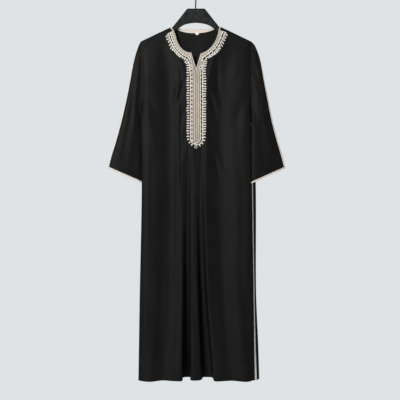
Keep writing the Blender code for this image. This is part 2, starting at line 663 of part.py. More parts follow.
def sleeve_ring(side, at):
    """Closed outline of a sleeve and its outward normals: outer nose, back half, tip and front half."""
    outer, inner = sleeve_folds(side, at)
    belly = sleeve_value("belly", at)
    fullness = sleeve_value("fullness", at)
    turn = sleeve_value("left_turn" if side < 0 else "right_turn", at)
    along = inner - outer
    inward = along.normalized()
    tip_way = Vector((-side, 0.0, 0.0))
    tip_half_depth = SLEEVE_TIP_HALF_DEPTH
    if at > 0:
        fold = (sleeve_folds(side, at)[0] - sleeve_folds(side, at - 0.1)[0]).normalized()
        inward = (inward - fold * inward.dot(fold)).normalized()
    else:
        tip_way = Vector((0.0, 0.0, 1.0))
        tip_half_depth *= FIRST_TIP_DEPTH
    radius = min(NOSE_RADIUS, belly * NOSE_SHARE_OF_BELLY)
    back = Vector((0.0, 1.0, 0.0))
    points, normals = [], []
    for angle in reversed(NOSE_ANGLES):
        turned = math.radians(angle + turn)
        normal = -inward * math.cos(turned) - back * math.sin(turned)
        points.append(outer + inward * radius + normal * radius)
        normals.append(normal)
    halves = []
    for way in (back, -back):
        half = []
        for share, depth in SLEEVE_HALF:
            full = fullness if share > SLEEVE_LOWER_PART else 1.0
            lean = SLEEVE_NOSE_LEAN if share < SLEEVE_NOSE_END else 0.0
            half.append((outer + along * share + way * belly * depth * full, (way - inward * lean).normalized()))
        tip_reach = SLEEVE_TIP_REACH if at > 0 else FIRST_TIP_REACH
        half.append((inner - tip_way * tip_reach + way * tip_half_depth,
                     (way + tip_way * SLEEVE_TIP_LEAN).normalized()))
        halves.append(half)
    for point, normal in halves[0] + [(inner, tip_way)] + halves[1][::-1]:
        points.append(point)
        normals.append(normal)
    return [tuple(point) for point in points], normals


def moved(points, normals, distance):
    return [tuple(Vector(point) + normal * distance) for point, normal in zip(points, normals)]


def sleeve(side, name, cloth, trim, cuff):
    """One sleeve with its cuff binding and the braid along its outer fold."""
    last = len(SLEEVE_SECTIONS) - 1
    section_step = SLEEVE_SECTIONS[-1].inner_drop - SLEEVE_SECTIONS[-2].inner_drop
    cloth_end = last - CUFF_BINDING_WIDTH / section_step
    stations = [0.0, 0.5] + [float(k) for k in range(1, last)] + [cloth_end]
    rings = [sleeve_ring(side, at) for at in stations]
    outer = [ring for ring, normals in rings]
    inner = [moved(ring, normals, -WALL) for ring, normals in rings]
    wall_object("sleeve_" + name, outer, inner, cloth, around=True)

    cuff_rings = [sleeve_ring(side, cloth_end + GAP / section_step * 1.5), sleeve_ring(side, last)]
    cuff_outer = [moved(ring, normals, CUFF_BINDING_STANDOFF) for ring, normals in cuff_rings]
    cuff_inner = [moved(ring, normals, -WALL) for ring, normals in cuff_rings]
    wall_object("cuff_binding_" + name, cuff_outer, cuff_inner, cuff, around=True)

    nose_count = len(NOSE_ANGLES)
    under, over = [], []
    for ring, normals in rings[2:]:
        under.append(moved(ring[:nose_count], normals[:nose_count], TRIM_CLEARANCE))
        over.append(moved(ring[:nose_count], normals[:nose_count], TRIM_CLEARANCE + STRIP_THICKNESS))
    wall_object("sleeve_braid_" + name, over, under, trim)


def side_braid(rows, normals, name, columns, trim):
    """Flat braid down a side seam, on the front's last strip of cloth."""
    under, over = [], []
    for row, row_normals in zip(rows, normals):
        if row[columns[0]][2] < SIDE_BRAID_TOP:
            continue
        strip = [row[i] for i in columns]
        lift = [row_normals[i] for i in columns]
        under.append(moved(strip, lift, SIDE_BRAID_CLEARANCE))
        over.append(moved(strip, lift, SIDE_BRAID_CLEARANCE + STRIP_THICKNESS))
    wall_object("side_braid_" + name, over, under, trim)


class PanelFace:
    """The outer face of a built object, looked at from the front along Y."""

    def __init__(self, *things):
        self.trees = []
        graph = bpy.context.evaluated_depsgraph_get()
        for thing in things:
            self.trees.append(BVHTree.FromObject(thing, graph))

    def depth(self, across, drop, reach=1.2):
        """Depth in millimetres of the face nearest the viewer, near a point of the face."""
        found = []
        for side_step, down_step in ((0, 0), (reach, 0), (-reach, 0), (0, reach), (0, -reach)):
            start = place(across + side_step, -200.0, drop + down_step)
            for tree in self.trees:
                hit = tree.ray_cast(start, Vector((0.0, 1.0, 0.0)))[0]
                if hit is not None:
                    found.append(hit.y / MM)
        near = [depth for depth in found if depth < min(found) + 3.0]
        return min(near)


def band_sections(table, edge):
    """Inner and outer edge points of one half of the braid band, down to the foot of the placket."""
    steps = [2 if row.outer_drop < BAND_SMOOTH_DROP else 1 for row in table[:-1]]
    inner_line = through([(row.inner, row.inner_drop) for row in table], steps)
    outer_line = through([(row.outer, row.outer_drop) for row in table], steps)
    sections = list(zip(inner_line, outer_line))
    direction = -1.0 if edge < PLACKET_CENTRE else 1.0
    inner = PLACKET_CENTRE + direction * GAP / 2
    for drop in PLACKET_DROPS:
        sections.append(((inner, drop), (edge, drop)))
    reach = edge - PLACKET_CENTRE
    for angle in PLACKET_END_ANGLES:
        turned = math.radians(angle)
        outer = PLACKET_CENTRE + reach * math.cos(turned)
        if angle == PLACKET_END_ANGLES[-1]:
            outer = inner
        drop = PLACKET_ROUNDING_DROP + PLACKET_ROUNDING_HEIGHT * math.sin(turned)
        inner_drop = PLACKET_ROUNDING_DROP + PLACKET_END_INNER * angle / 90.0
        sections.append(((inner, inner_drop), (outer, drop)))
    return sections


def braid_band(face, table, edge, name, trim):
    """Raised braid band on one half of the neck and placket."""
    over, under = [], []
    for inner, outer in band_sections(table, edge):
        high, low = [], []
        for share, height in BAND_PROFILE:
            across = inner[0] + (outer[0] - inner[0]) * share
            drop = inner[1] + (outer[1] - inner[1]) * share
            base = face.depth(across, drop) - TRIM_CLEARANCE
            low.append((across, base, drop))
            high.append((across, base - height, drop))
        over.append(high)
        under.append(low)
    return wall_object("braid_band_" + name, over, under, trim)


def loop_edging(face, table, edge, name, trim):
    """Row of cord loops along the outer edge of the braid band, standing off a narrow rim."""
    direction = -1.0 if edge < PLACKET_CENTRE else 1.0
    edges = [section[1] for section in band_sections(table, edge)]
    edges[-1] = (PLACKET_CENTRE + direction * GAP / 2, edges[-1][1])
    length = sum(math.dist(a, b) for a, b in zip(edges, edges[1:]))
    count = round(length / LOOP_PITCH)
    shares, reaches = [], []
    for k in range(count):
        shares += [(k + 0.05) / count, (k + 0.55) / count, (k + 0.8) / count]
        reaches += [LOOP_LENGTH, LOOP_LENGTH, LOOP_RIM]
    shares.append(1.0)
    reaches.append(LOOP_LENGTH * 0.9)
    spots = at_shares(edges, shares, steps=1)
    over, under = [], []
    for k, (across, drop) in enumerate(spots):
        before, after = spots[max(k - 2, 0)], spots[min(k + 2, len(spots) - 1)]
        step = (after[0] - before[0], after[1] - before[1])
        size = math.hypot(*step)
        outward = (-step[1] / size, step[0] / size)
        if outward[0] * direction < 0 and abs(outward[0]) > 0.2 or outward[1] < -0.5:
            outward = (-outward[0], -outward[1])
        if k == len(spots) - 1:
            outward = (0.0, 1.0)
        high, low = [], []
        for reach in (LOOP_CLEARANCE, reaches[k]):
            x, d = across + outward[0] * reach, drop + outward[1] * reach
            if (x - PLACKET_CENTRE) * direction < GAP / 2:
                x = PLACKET_CENTRE + direction * GAP / 2
            base = face.depth(x, d) - TRIM_CLEARANCE
            low.append((x, base, d))
            high.append((x, base - LOOP_THICKNESS, d))
        over.append(high)
        under.append(low)
    wall_object("loop_edging_" + name, over, under, trim)


def cord_ring(face, across, drop, name, trim):
    """Small ring of cord sewn on the band beside the foot of the notch."""
    around, sides = 12, 4
    base = min(face.depth(across + RING_RADIUS * math.cos(k), drop + RING_RADIUS * math.sin(k))
               for k in range(7)) - GAP - RING_CORD_RADIUS
    rings = []
    for i in range(around):
        angle = 2 * math.pi * i / around
        ring = []
        for k in range(sides):
            turned = 2 * math.pi * (k + 0.5) / sides
            radius = RING_RADIUS + RING_CORD_RADIUS * math.cos(turned)
            ring.append((across + radius * math.cos(angle), base + RING_CORD_RADIUS * math.sin(turned),
                         drop + radius * math.sin(angle)))
        rings.append(ring)
    loft_object("cord_ring_" + name, rings, trim, closed=True)


def neck_binding(front, front_normals, back, back_normals, trim):
    """Binding round the whole neck edge, mitred at the foot of the notch."""
    first, last = column_of(THIN_RIDGE, FRONT_STEPS), column_of(RIGHT_BULGE, FRONT_STEPS)
    back_first, back_last = column_of(BACK_NECK_LEFT, BACK_STEPS), column_of(BACK_NECK_RIGHT, BACK_STEPS)
    edge, lifts = [], []
    for i in range(first, last + 1):
        edge.append(Vector(front[0][i]))
        lifts.append(front_normals[0][i])
    for i in range(back_last - 1, back_first, -1):
        edge.append(Vector(back[0][i]))
        lifts.append(back_normals[0][i])
    ridge_spots = (0, last - first)
    for spot in ridge_spots:
        edge[spot].y = 0.0
        lifts[spot] = Vector((SHOULDER_SLOPE * math.copysign(1.0, edge[spot].x), 0.0, -1.0)).normalized()
    profile = ((GAP, 0.0), (GAP + 0.9, BINDING_RISE), (BINDING_WIDTH - 0.8, BINDING_RISE),
               (BINDING_WIDTH + GAP, 0.1), (BINDING_WIDTH + GAP, -WALL + 0.1), (GAP, -WALL))
    count = len(edge)
    rings = []
    for k in range(count):
        before, here, after = edge[k - 1], edge[k], edge[(k + 1) % count]
        lift = lifts[k]
        ways = []
        for step in (here - before, after - here):
            way = step.normalized().cross(lift)
            ways.append(way.normalized())
        way = ways[0] + ways[1]
        way = way * (2.0 / max(way.dot(way), 0.12))
        centre = Vector((0.0, 0.0, -40.0))
        if way.dot(centre - here) < 0:
            way.negate()
        rings.append([tuple(here + way * reach + lift * rise) for reach, rise in profile])
    loft_object("neck_binding", rings, trim, closed=True)


def back_facing(trim):
    """Half-moon facing inside the back of the neck."""
    count, rows = 12, 3
    outer, inner = [], []
    edge_rows = back_neck_points()
    knots = [point[0] for point in edge_rows]
    drops = [point[1] for point in edge_rows]
    for j in range(rows):
        near, far = [], []
        for i in range(count + 1):
            across = -FACING_HALF_WIDTH + 2 * FACING_HALF_WIDTH * i / count
            share = 1.0 - (across / FACING_HALF_WIDTH) ** 2
            width = FACING_END_DEPTH + (FACING_DEPTH - FACING_END_DEPTH) * share
            drop = curve_value(knots, drops, across) + 0.3 + width * j / (rows - 1)
            depth = upper_depth(across, drop) - WALL - FACING_CLEARANCE
            far.append((across, depth, drop))
            near.append((across, depth - FACING_THICKNESS, drop))
        outer.append(near)
        inner.append(far)
    wall_object("neck_facing", outer, inner, trim)


def neck_tag(trim):
    """Blank tag under the middle of the facing."""
    depth = upper_depth(0.0, TAG_TOP) - WALL - FACING_CLEARANCE
    outer, inner = [], []
    for drop in (TAG_TOP, TAG_BOTTOM):
        outer.append([(across, depth - TAG_THICKNESS, drop) for across in (TAG_LEFT, TAG_RIGHT)])
        inner.append([(across, depth, drop) for across in (TAG_LEFT, TAG_RIGHT)])
    wall_object("neck_tag", outer, inner, trim)


def hanger_body(finish):
    """Broad flat hanger: plateau, sloping arms and an arched lower edge."""
    outline = [(across, drop) for across, drop in HANGER_OUTLINE]
    outline += [(-across, drop) for across, drop in reversed(HANGER_OUTLINE[:-1])]
    mesh = bmesh.new()
    faces = []
    for depth in (-HANGER_HALF_THICKNESS, HANGER_HALF_THICKNESS):
        faces.append([mesh.verts.new(place(across, depth, drop)) for across, drop in outline])
    mesh.faces.new(faces[0])
    mesh.faces.new(faces[1])
    for i in range(len(outline)):
        n = (i + 1) % len(outline)
        mesh.faces.new((faces[0][i], faces[0][n], faces[1][n], faces[1][i]))
    hanger = finish_object("hanger_body", mesh, finish)
    bevel = hanger.modifiers.new("rounded edges", "BEVEL")
    bevel.width = HANGER_EDGE_ROUNDING * MM
    bevel.segments = 2
    bevel.limit_method = "ANGLE"
    bevel.angle_limit = math.radians(60)


def hanger_hook(finish):
    """Wire hook: a straight shank, a short bend to one side and an arc over the top."""
    shank_foot = PLATEAU_DROP - GAP
    total = HOOK_NECK_RADIUS + HOOK_BEND_RADIUS
    swing = math.acos(HOOK_NECK_RADIUS / total)
    arc_centre = -NECK_POINT_BELOW_HOOK + HOOK_BEND_RADIUS - HOOK_WIRE_RADIUS
    shank_top = arc_centre + total * math.sin(swing)
    points = [(0.0, shank_foot), (0.0, (shank_foot + shank_top) / 2), (0.0, shank_top)]
    for k in range(1, 5):
        angle = swing * k / 4
        points.append((HOOK_NECK_RADIUS * (1 - math.cos(angle)), shank_top - HOOK_NECK_RADIUS * math.sin(angle)))
    sweep_start, sweep_end = -swing, math.radians(200)
    for k in range(1, 17):
        angle = sweep_start + (sweep_end - sweep_start) * k / 16
        points.append((HOOK_BEND_RADIUS * math.cos(angle), arc_centre - HOOK_BEND_RADIUS * math.sin(angle)))
    rings = []
    for i, (across, drop) in enumerate(points):
        before, after = points[max(i - 1, 0)], points[min(i + 1, len(points) - 1)]
        step = Vector((after[0] - before[0], 0.0, after[1] - before[1])).normalized()
        sideways = Vector((step.z, 0.0, -step.x))
        ring = []
        for k in range(HOOK_WIRE_SIDES):
            angle = 2 * math.pi * (k + 0.5) / HOOK_WIRE_SIDES
            ring.append((across + sideways.x * HOOK_WIRE_RADIUS * math.cos(angle),
                         HOOK_WIRE_RADIUS * math.sin(angle),
                         drop + sideways.z * HOOK_WIRE_RADIUS * math.cos(angle)))
        rings.append(ring)
    loft_object("hanger_hook", rings, finish, closed=False)


def main():
    clear_scene()
    cloth = make_material("cloth_black", (0.017, 0.016, 0.015), 0.62)
    braid = make_material("braid_beige", (0.60, 0.53, 0.43), 0.7)
    loops = make_material("loop_cord", (0.70, 0.64, 0.55), 0.65)
    binding = make_material("binding_cream", (0.78, 0.68, 0.60), 0.6)
    label = make_material("tag_white", (0.85, 0.85, 0.83), 0.6)
    velvet = make_material("hanger_black", (0.03, 0.03, 0.035), 0.85)
    wire = make_material("hook_wire", (0.08, 0.08, 0.08), 0.3, 1.0)

    front, front_normals, back, back_normals = body_panels(cloth)
    sleeve(-1, "left", cloth, braid, binding)
    sleeve(1, "right", cloth, braid, binding)
    side_braid(front, front_normals, "left", (0, 1, 2), braid)
    side_braid(front, front_normals, "right", (-3, -2, -1), braid)

    face = PanelFace(bpy.data.objects["front_panel"])
    left_band = braid_band(face, BAND_LEFT, PLACKET_EDGE_LEFT, "left", braid)
    right_band = braid_band(face, BAND_RIGHT, PLACKET_EDGE_RIGHT, "right", braid)
    loop_edging(face, BAND_LEFT, PLACKET_EDGE_LEFT, "left", loops)
    loop_edging(face, BAND_RIGHT, PLACKET_EDGE_RIGHT, "right", loops)
    band_face = PanelFace(left_band, right_band)
    cord_ring(band_face, -17.0, 163.0, "left", loops)
    cord_ring(band_face, 20.0, 160.0, "right", loops)
    neck_binding(front, front_normals, back, back_normals, binding)
    back_facing(binding)
    neck_tag(label)
    hanger_body(velvet)
    hanger_hook(wire)


main()
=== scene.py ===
# Looks of the kaftan on its hanger: black cloth, beige braid, cord loops, bindings, stitches and the studio.
# Settings are in millimetres, as a dressmaker measures them: across to the right as seen from the front,
# depth back from the middle plane, and drop down from the side of the neck.

import math
from collections import namedtuple

import bmesh
import bpy
import numpy as np
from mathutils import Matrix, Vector, noise
from mathutils.bvhtree import BVHTree


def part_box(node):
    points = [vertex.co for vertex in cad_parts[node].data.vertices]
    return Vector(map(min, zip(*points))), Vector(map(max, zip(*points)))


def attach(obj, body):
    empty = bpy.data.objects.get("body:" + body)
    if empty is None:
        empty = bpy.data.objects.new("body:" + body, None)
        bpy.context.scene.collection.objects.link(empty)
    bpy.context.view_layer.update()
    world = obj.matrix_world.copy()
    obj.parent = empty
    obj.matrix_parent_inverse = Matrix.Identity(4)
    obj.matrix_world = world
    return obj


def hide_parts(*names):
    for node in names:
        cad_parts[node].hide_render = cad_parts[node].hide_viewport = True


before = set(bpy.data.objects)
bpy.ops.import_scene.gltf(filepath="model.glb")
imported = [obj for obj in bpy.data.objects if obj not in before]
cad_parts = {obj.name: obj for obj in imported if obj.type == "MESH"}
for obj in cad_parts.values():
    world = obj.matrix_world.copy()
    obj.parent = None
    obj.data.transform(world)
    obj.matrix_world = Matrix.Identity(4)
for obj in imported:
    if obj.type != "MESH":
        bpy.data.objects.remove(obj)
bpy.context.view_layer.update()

mm = 0.001

garment = {
    "length": 1390.0,
    "chest": 229.0,
    "underarm": 320.0,
    "seam": 217.85,  # across from the middle to the armhole seam
    "edge": 213.0,  # and to the panel's edge line, just inside it
    "shoulderSlope": 0.477,
    "ridgeLevel": 98.0,  # how far across the shoulder ridge is level with the neck
    "armhole": 218.0,
    "shoulderRounding": 10.5,
    "chestDepth": 15.0,
    "armholePinch": 0.5,
    "pinchWidth": 8.0,
    "hangingReach": 150.0,
    "cloth": 1.5,
    "seamGap": 0.3,
    "creaseTaper": 0.8,
}
neckBelowHook = -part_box("front_panel")[0].z / mm - garment["length"]


# Curves and meshes

def spots(points):  # garment millimetres to the frame's metres
    points = np.asarray(points, float)
    return np.stack([points[..., 0], points[..., 1], -(neckBelowHook + points[..., 2])], axis=-1) * mm


def smoothStep(value):
    share = np.clip(value, 0.0, 1.0)
    return share * share * (3.0 - 2.0 * share)


def hermite(t, start, end, leaving, arriving):  # cubic between two values, slopes taken over the whole span
    return (start * (2 * t ** 3 - 3 * t ** 2 + 1) + end * (3 * t ** 2 - 2 * t ** 3)
            + leaving * (t ** 3 - 2 * t ** 2 + t) + arriving * (t ** 3 - t ** 2))


def curveAt(knots, values, at):  # smooth curve through values at rising knots, level past both ends
    values = np.asarray(values, float)
    if at <= knots[0]:
        return values[0]
    if at >= knots[-1]:
        return values[-1]
    last = len(knots) - 1
    span = max(i for i in range(last) if knots[i] <= at)
    width = knots[span + 1] - knots[span]
    slopes = []
    for i in (span, span + 1):
        low, high = max(i - 1, 0), min(i + 1, last)
        slopes.append(width * (values[high] - values[low]) / (knots[high] - knots[low]))
    return hermite((at - knots[span]) / width, values[span], values[span + 1], *slopes)


def through(points, steps):  # smooth curve through points, with a number of steps for each span
    points = np.asarray(points, float)
    gaps = np.diff(points, axis=0)
    widths = np.linalg.norm(gaps, axis=1)[:, None]
    slopes = gaps / widths
    middle = (slopes[:-1] * widths[1:] + slopes[1:] * widths[:-1]) / (widths[:-1] + widths[1:])
    tangents = np.vstack([slopes[:1], middle, slopes[-1:]])
    made = [hermite(np.arange(count)[:, None] / count, points[i], points[i + 1], tangents[i] * widths[i],
                    tangents[i + 1] * widths[i]) for i, count in enumerate(steps)]
    return np.vstack(made + [points[-1:]])


def throughClosed(points, steps):  # the same for a closed outline
    points = np.asarray(points, float)
    wrapped = np.vstack([points[-2:], points, points[:3]])
    fine = through(wrapped, [steps] * (len(wrapped) - 1))
    return fine[2 * steps:(2 + len(points)) * steps]


def lengthsOf(points):
    return np.concatenate([[0.0], np.cumsum(np.linalg.norm(np.diff(points, axis=0), axis=1))])


def alongPath(points, places, path=None):  # points at places given as lengths along a path
    lengths = lengthsOf(points if path is None else path)
    return np.stack([np.interp(places, lengths, points[:, axis]) for axis in range(points.shape[1])], axis=-1)


def atShares(points, shares, steps=8):  # points at shares of the length of a smooth curve
    fine = through(points, [steps] * (len(points) - 1))
    return alongPath(fine, np.asarray(shares) * lengthsOf(fine)[-1])


def refined(values, factor):  # a rising or falling list with more values between its own
    places = np.arange((len(values) - 1) * factor + 1) / factor
    return np.interp(places, np.arange(len(values)), values)


def between(pair, share):  # from the first value of a pair to the second
    return pair[0] + (pair[1] - pair[0]) * share


def unit(vector):
    return vector / np.linalg.norm(vector)


def raised(line, lifts, profile):  # a profile over a line: shares of its length and heights along its lifts
    shares, heights = np.array(profile).T
    places = shares * lengthsOf(line)[-1]
    return alongPath(line, places) + alongPath(lifts, places, line) * heights[:, None]


def oval(centre, radii, count=36):  # points of a ring, as across and drop
    angles = np.linspace(0.0, 2 * math.pi, count + 1)[:-1]
    return np.stack([centre[0] + radii[0] * np.cos(angles), centre[1] + radii[1] * np.sin(angles)], axis=-1)


def gridFaces(rows, columns, around=False, flip=False, start=0):
    faces = []
    for j in range(rows - 1):
        for i in range(columns if around else columns - 1):
            n = (i + 1) % columns
            face = [j * columns + i, j * columns + n, (j + 1) * columns + n, (j + 1) * columns + i]
            faces.append([start + k for k in (face[::-1] if flip else face)])
    return faces


def clothThreads(grid):  # place of each grid point on the flat cloth, in millimetres
    rows, columns = grid.shape[:2]
    along = np.zeros((rows, columns))
    along[:, 1:] = np.cumsum(np.linalg.norm(np.diff(grid, axis=1), axis=2), axis=1)
    along -= along[:, columns // 2:columns // 2 + 1]
    down = np.zeros((rows, columns))
    down[1:] = np.cumsum(np.linalg.norm(np.diff(grid, axis=0), axis=2), axis=0)
    return np.stack([along, down, np.zeros_like(along)], axis=-1)


def framesOf(path, closed=False):  # sideways and outward directions along a path of garment points
    path = np.asarray(path, float)
    steps = np.roll(path, -1, axis=0) - np.roll(path, 1, axis=0) if closed else np.gradient(path, axis=0)
    tangents = steps / np.maximum(np.linalg.norm(steps, axis=1), 1e-9)[:, None]
    sideways = np.cross(tangents, np.broadcast_to((0.0, -1.0, 0.0), tangents.shape))
    sideways /= np.maximum(np.linalg.norm(sideways, axis=1), 1e-9)[:, None]
    return sideways, np.cross(sideways, tangents)


def thickened(piece, thickness):  # the same piece with a wall behind its face
    wall = piece.modifiers.new("cloth thickness", "SOLIDIFY")
    wall.thickness = thickness * mm
    wall.offset = -1.0
    graph = bpy.context.evaluated_depsgraph_get()
    solid = bpy.data.meshes.new_from_object(piece.evaluated_get(graph))
    solid.name = piece.name
    piece.modifiers.clear()
    piece.data = solid


def faceOutward(mesh):
    work = bmesh.new()
    work.from_mesh(mesh)
    bmesh.ops.recalc_face_normals(work, faces=work.faces)
    work.to_mesh(mesh)
    work.free()


def linked(name, data):  # a new object in the scene
    made = bpy.data.objects.new(name, data)
    bpy.context.scene.collection.objects.link(made)
    return made


twist = {
    "pitch": 5.6,
    "stepsPerTurn": 7,
    "offset": 0.44,  # of a strand from the cord's middle, as a share of the cord's radius
    "strand": 0.6,  # radius of a strand, as a share of the cord's
}


class Pieces:  # vertices, faces and thread places of one piece, gathered part by part
    def __init__(self):
        self.points, self.faces, self.threads, self.count = [], [], [], 0

    def add(self, points, faces, threads):
        self.points.append(np.asarray(points).reshape(-1, 3))
        self.threads.append(np.asarray(threads).reshape(-1, 3))
        self.faces += [[self.count + k for k in face] for face in faces]
        self.count += len(self.points[-1])

    def addGrid(self, grid, around=False, flip=False):  # a grid of garment points
        rows, columns = grid.shape[:2]
        self.add(spots(grid), gridFaces(rows, columns, around, flip), clothThreads(grid))

    def addLoft(self, rings, closed=False, turning=False, seed=0.0):  # closed sections joined end to end
        rings = np.asarray(rings, float)
        count, sides = rings.shape[:2]
        threads = np.zeros((count, sides, 3))
        threads[..., 0] = lengthsOf(rings.mean(axis=1))[:, None]
        if turning:
            threads[..., 1] = 2 * math.pi * np.arange(sides) / sides
        else:
            threads[:, 1:, 1] = np.cumsum(np.linalg.norm(np.diff(rings, axis=1), axis=2), axis=1)
        threads[..., 2] = seed
        faces = gridFaces(count, sides, around=True)
        last = (count - 1) * sides
        if closed:
            faces += [[last + i, last + (i + 1) % sides, (i + 1) % sides, i] for i in range(sides)]
        else:
            faces += [list(range(sides)), [last + i for i in range(sides)]]
        self.add(spots(rings), faces, threads)

    def addTube(self, path, radius, sides=6, closed=False, seed=0.0):
        sideways, outward = framesOf(path, closed)
        angles = 2 * math.pi * np.arange(sides) / sides
        radii = np.broadcast_to(np.asarray(radius, float), (len(path),))[:, None, None]
        rings = (sideways[:, None] * np.sin(angles)[None, :, None]
                 - outward[:, None] * np.cos(angles)[None, :, None]) * radii
        self.addLoft(np.asarray(path)[:, None] + rings, closed, turning=True, seed=seed)

    # two twisted strands along a path
    def addCord(self, path, radius, pitch=twist["pitch"], closed=False, sides=6, seed=0.0):
        if closed:
            path = np.vstack([path, path[:1]])
        lengths = lengthsOf(path)
        turns = max(round(lengths[-1] / pitch), 1) if closed else lengths[-1] / pitch
        count = max(round(turns * twist["stepsPerTurn"]), 4)
        fine = alongPath(path, np.linspace(0.0, lengths[-1], count + 1))
        if closed:
            fine = fine[:-1]
        sideways, outward = framesOf(fine, closed)
        for phase in (0.0, math.pi):
            angle = (2 * math.pi * turns * np.arange(len(fine)) / count + phase)[:, None]
            strand = fine + (sideways * np.cos(angle) + outward * np.sin(angle)) * radius * twist["offset"]
            self.addTube(strand, radius * twist["strand"], sides, closed, seed + phase)

    def build(self, name, finish, replaces=(), thickness=0.0, mend=True, sharp=60):
        data = bpy.data.meshes.new(name)
        data.from_pydata(np.vstack(self.points).tolist(), [], self.faces)
        threads = data.attributes.new("threads", "FLOAT_VECTOR", "POINT")
        threads.data.foreach_set("vector", np.vstack(self.threads).astype(np.float32).ravel())
        piece = linked(name, data)
        if thickness:
            thickened(piece, thickness)
        if mend:
            faceOutward(piece.data)
        piece.data.shade_smooth()
        if sharp:
            piece.data.set_sharp_from_angle(angle=math.radians(sharp))
        piece.data.materials.clear()
        piece.data.materials.append(finish)
        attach(piece, "root")
        if replaces:
            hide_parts(*replaces)
        return piece


# Shader maths

class Signal:  # one output socket; arithmetic on it adds Math nodes
    def __init__(self, nodes, output):
        self.nodes = nodes
        self.output = output

    def maths(self, operation, *values):
        return self.nodes.node("ShaderNodeMath", {"operation": operation}, dict(enumerate(values)))

    def __add__(self, other):
        return self.maths("ADD", self, other)

    __radd__ = __add__

    def __sub__(self, other):
        return self.maths("SUBTRACT", self, other)

    def __rsub__(self, other):
        return self.maths("SUBTRACT", other, self)

    def __mul__(self, other):
        return self.maths("MULTIPLY", self, other)

    __rmul__ = __mul__

    def sine(self):
        return self.maths("SINE", self)

    def clamped(self):
        return self.nodes.node("ShaderNodeClamp", {}, {"Value": self})

    def between(self, low, high):  # 0 below low, 1 above high
        return self.nodes.node("ShaderNodeMapRange", {"interpolation_type": "SMOOTHSTEP"},
                                {"Value": self, "From Min": low, "From Max": high})


class Nodes:  # a node tree whose nodes all come from one method
    def __init__(self, tree):
        self.tree = tree

    def node(self, kind, settings=None, sockets=None, out=0):
        made = self.tree.nodes.new(kind)
        for name, value in (settings or {}).items():
            setattr(made, name, value)
        for key, value in (sockets or {}).items():
            if isinstance(value, Signal):
                self.tree.links.new(value.output, made.inputs[key])
            elif isinstance(value, tuple) and len(made.inputs[key].default_value) == 4:
                made.inputs[key].default_value = (*value, 1.0)
            else:
                made.inputs[key].default_value = value
        return Signal(self, made.outputs[out])


class Finish(Nodes):  # a material with a Principled shader
    def __init__(self, name, **constants):
        self.material = bpy.data.materials.new(name)
        self.material.use_nodes = True
        super().__init__(self.material.node_tree)
        self.shader = self.tree.nodes["Principled BSDF"]
        for socket, value in constants.items():
            self.set(socket, value)

    def set(self, socket, value):  # sheenWeight sets the shader's Sheen Weight
        words = "".join(" " + letter if letter.isupper() else letter for letter in socket).title()
        entry = self.shader.inputs[words.replace("Ior", "IOR")]
        if isinstance(value, Signal):
            self.tree.links.new(value.output, entry)
        else:
            entry.default_value = (*value, 1.0) if isinstance(value, tuple) else value

    def split(self, vector):  # the three parts of a vector
        first = self.node("ShaderNodeSeparateXYZ", {}, {0: vector})
        return [Signal(self, output) for output in first.output.node.outputs]

    def threads(self):  # place on the cloth or along the cord, in millimetres
        return self.node("ShaderNodeAttribute", {"attribute_name": "threads"}, out="Vector")

    def place(self):  # place in the frame, in metres
        return self.node("ShaderNodeTexCoord", out="Object")

    def speckle(self, vector, scale, detail=2.0, roughness=0.5):
        return self.node("ShaderNodeTexNoise", {}, {"Vector": vector, "Scale": scale, "Detail": detail,
                                                    "Roughness": roughness})

    def blend(self, factor, first, second):
        return self.node("ShaderNodeMix", {"data_type": "RGBA"}, {0: factor, 6: first, 7: second}, out=2)

    def stretched(self, vector, scale):
        return self.node("ShaderNodeVectorMath", {"operation": "MULTIPLY"}, {0: vector, 1: Vector(scale)})

    def bump(self, height, distance, strength=1.0, under=None):
        sockets = {"Height": height, "Distance": distance, "Strength": strength}
        if under is not None:
            sockets["Normal"] = under
        return self.node("ShaderNodeBump", {}, sockets)


def weave(across, down, thread):
    turn = 2 * math.pi / thread
    return (across * turn).sine() * (down * turn).sine()


def blackCloth():
    look = {
        "thread": 0.62,
        "slub": (0.9, 0.06, 1.0),
        "clouds": 9.0,
        "ramp": (0.35, 0.8),
        "dark": (0.0038, 0.0036, 0.0034),
        "light": (0.0074, 0.0070, 0.0065),
        "relief": (0.00011, 0.55),
    }
    finish = Finish("blackCloth", specularIorLevel=0.11)
    vector = finish.threads()
    across, down, _ = finish.split(vector)
    slub = finish.speckle(finish.stretched(vector, look["slub"]), 1.0, 3.0)
    cloudy = finish.speckle(finish.place(), look["clouds"], 3.0)
    shade = (slub * 0.6 + cloudy * 0.5).between(*look["ramp"])
    finish.set("baseColor", finish.blend(shade, look["dark"], look["light"]))
    finish.set("roughness", 0.5 + 0.14 * cloudy + 0.05 * slub)
    height = weave(across, down, look["thread"]) * 0.5 + slub * 0.8
    finish.set("normal", finish.bump(height, *look["relief"]))
    return finish.material


def braidTape(name, light, dark, rib=1.7):
    look = {
        "fleck": (1.4, 1.4, 1.0),
        "patches": 34.0,
        "ramp": (0.1, 0.95),
        # colour of the grooves as a share of the dark colour: painted shade in the sunk grooves
        "sunk": 0.3,
        "relief": (0.0004, 0.8),
    }
    finish = Finish(name, sheenWeight=0.25, sheenRoughness=0.5, specularIorLevel=0.35)
    vector = finish.threads()
    along, across, groove = finish.split(vector)
    turn = 2 * math.pi / rib
    twill = (along * turn + across * turn * 0.5).sine()
    fine = finish.speckle(finish.stretched(vector, look["fleck"]), 1.0, 3.0, 0.6)
    broad = finish.speckle(finish.place(), look["patches"], 2.0)
    shade = (twill * 0.22 + fine * 0.7 + broad * 0.35).between(*look["ramp"])
    sunk = tuple(value * look["sunk"] for value in dark)
    # the groove amount from the threads' third part darkens the colour: painted shade where the tape is sunk
    finish.set("baseColor", finish.blend((groove * 0.85).clamped(), finish.blend(shade, dark, light), sunk))
    finish.set("roughness", 0.5 + 0.2 * fine)
    finish.set("normal", finish.bump(twill * 0.5 + fine, *look["relief"]))
    return finish.material


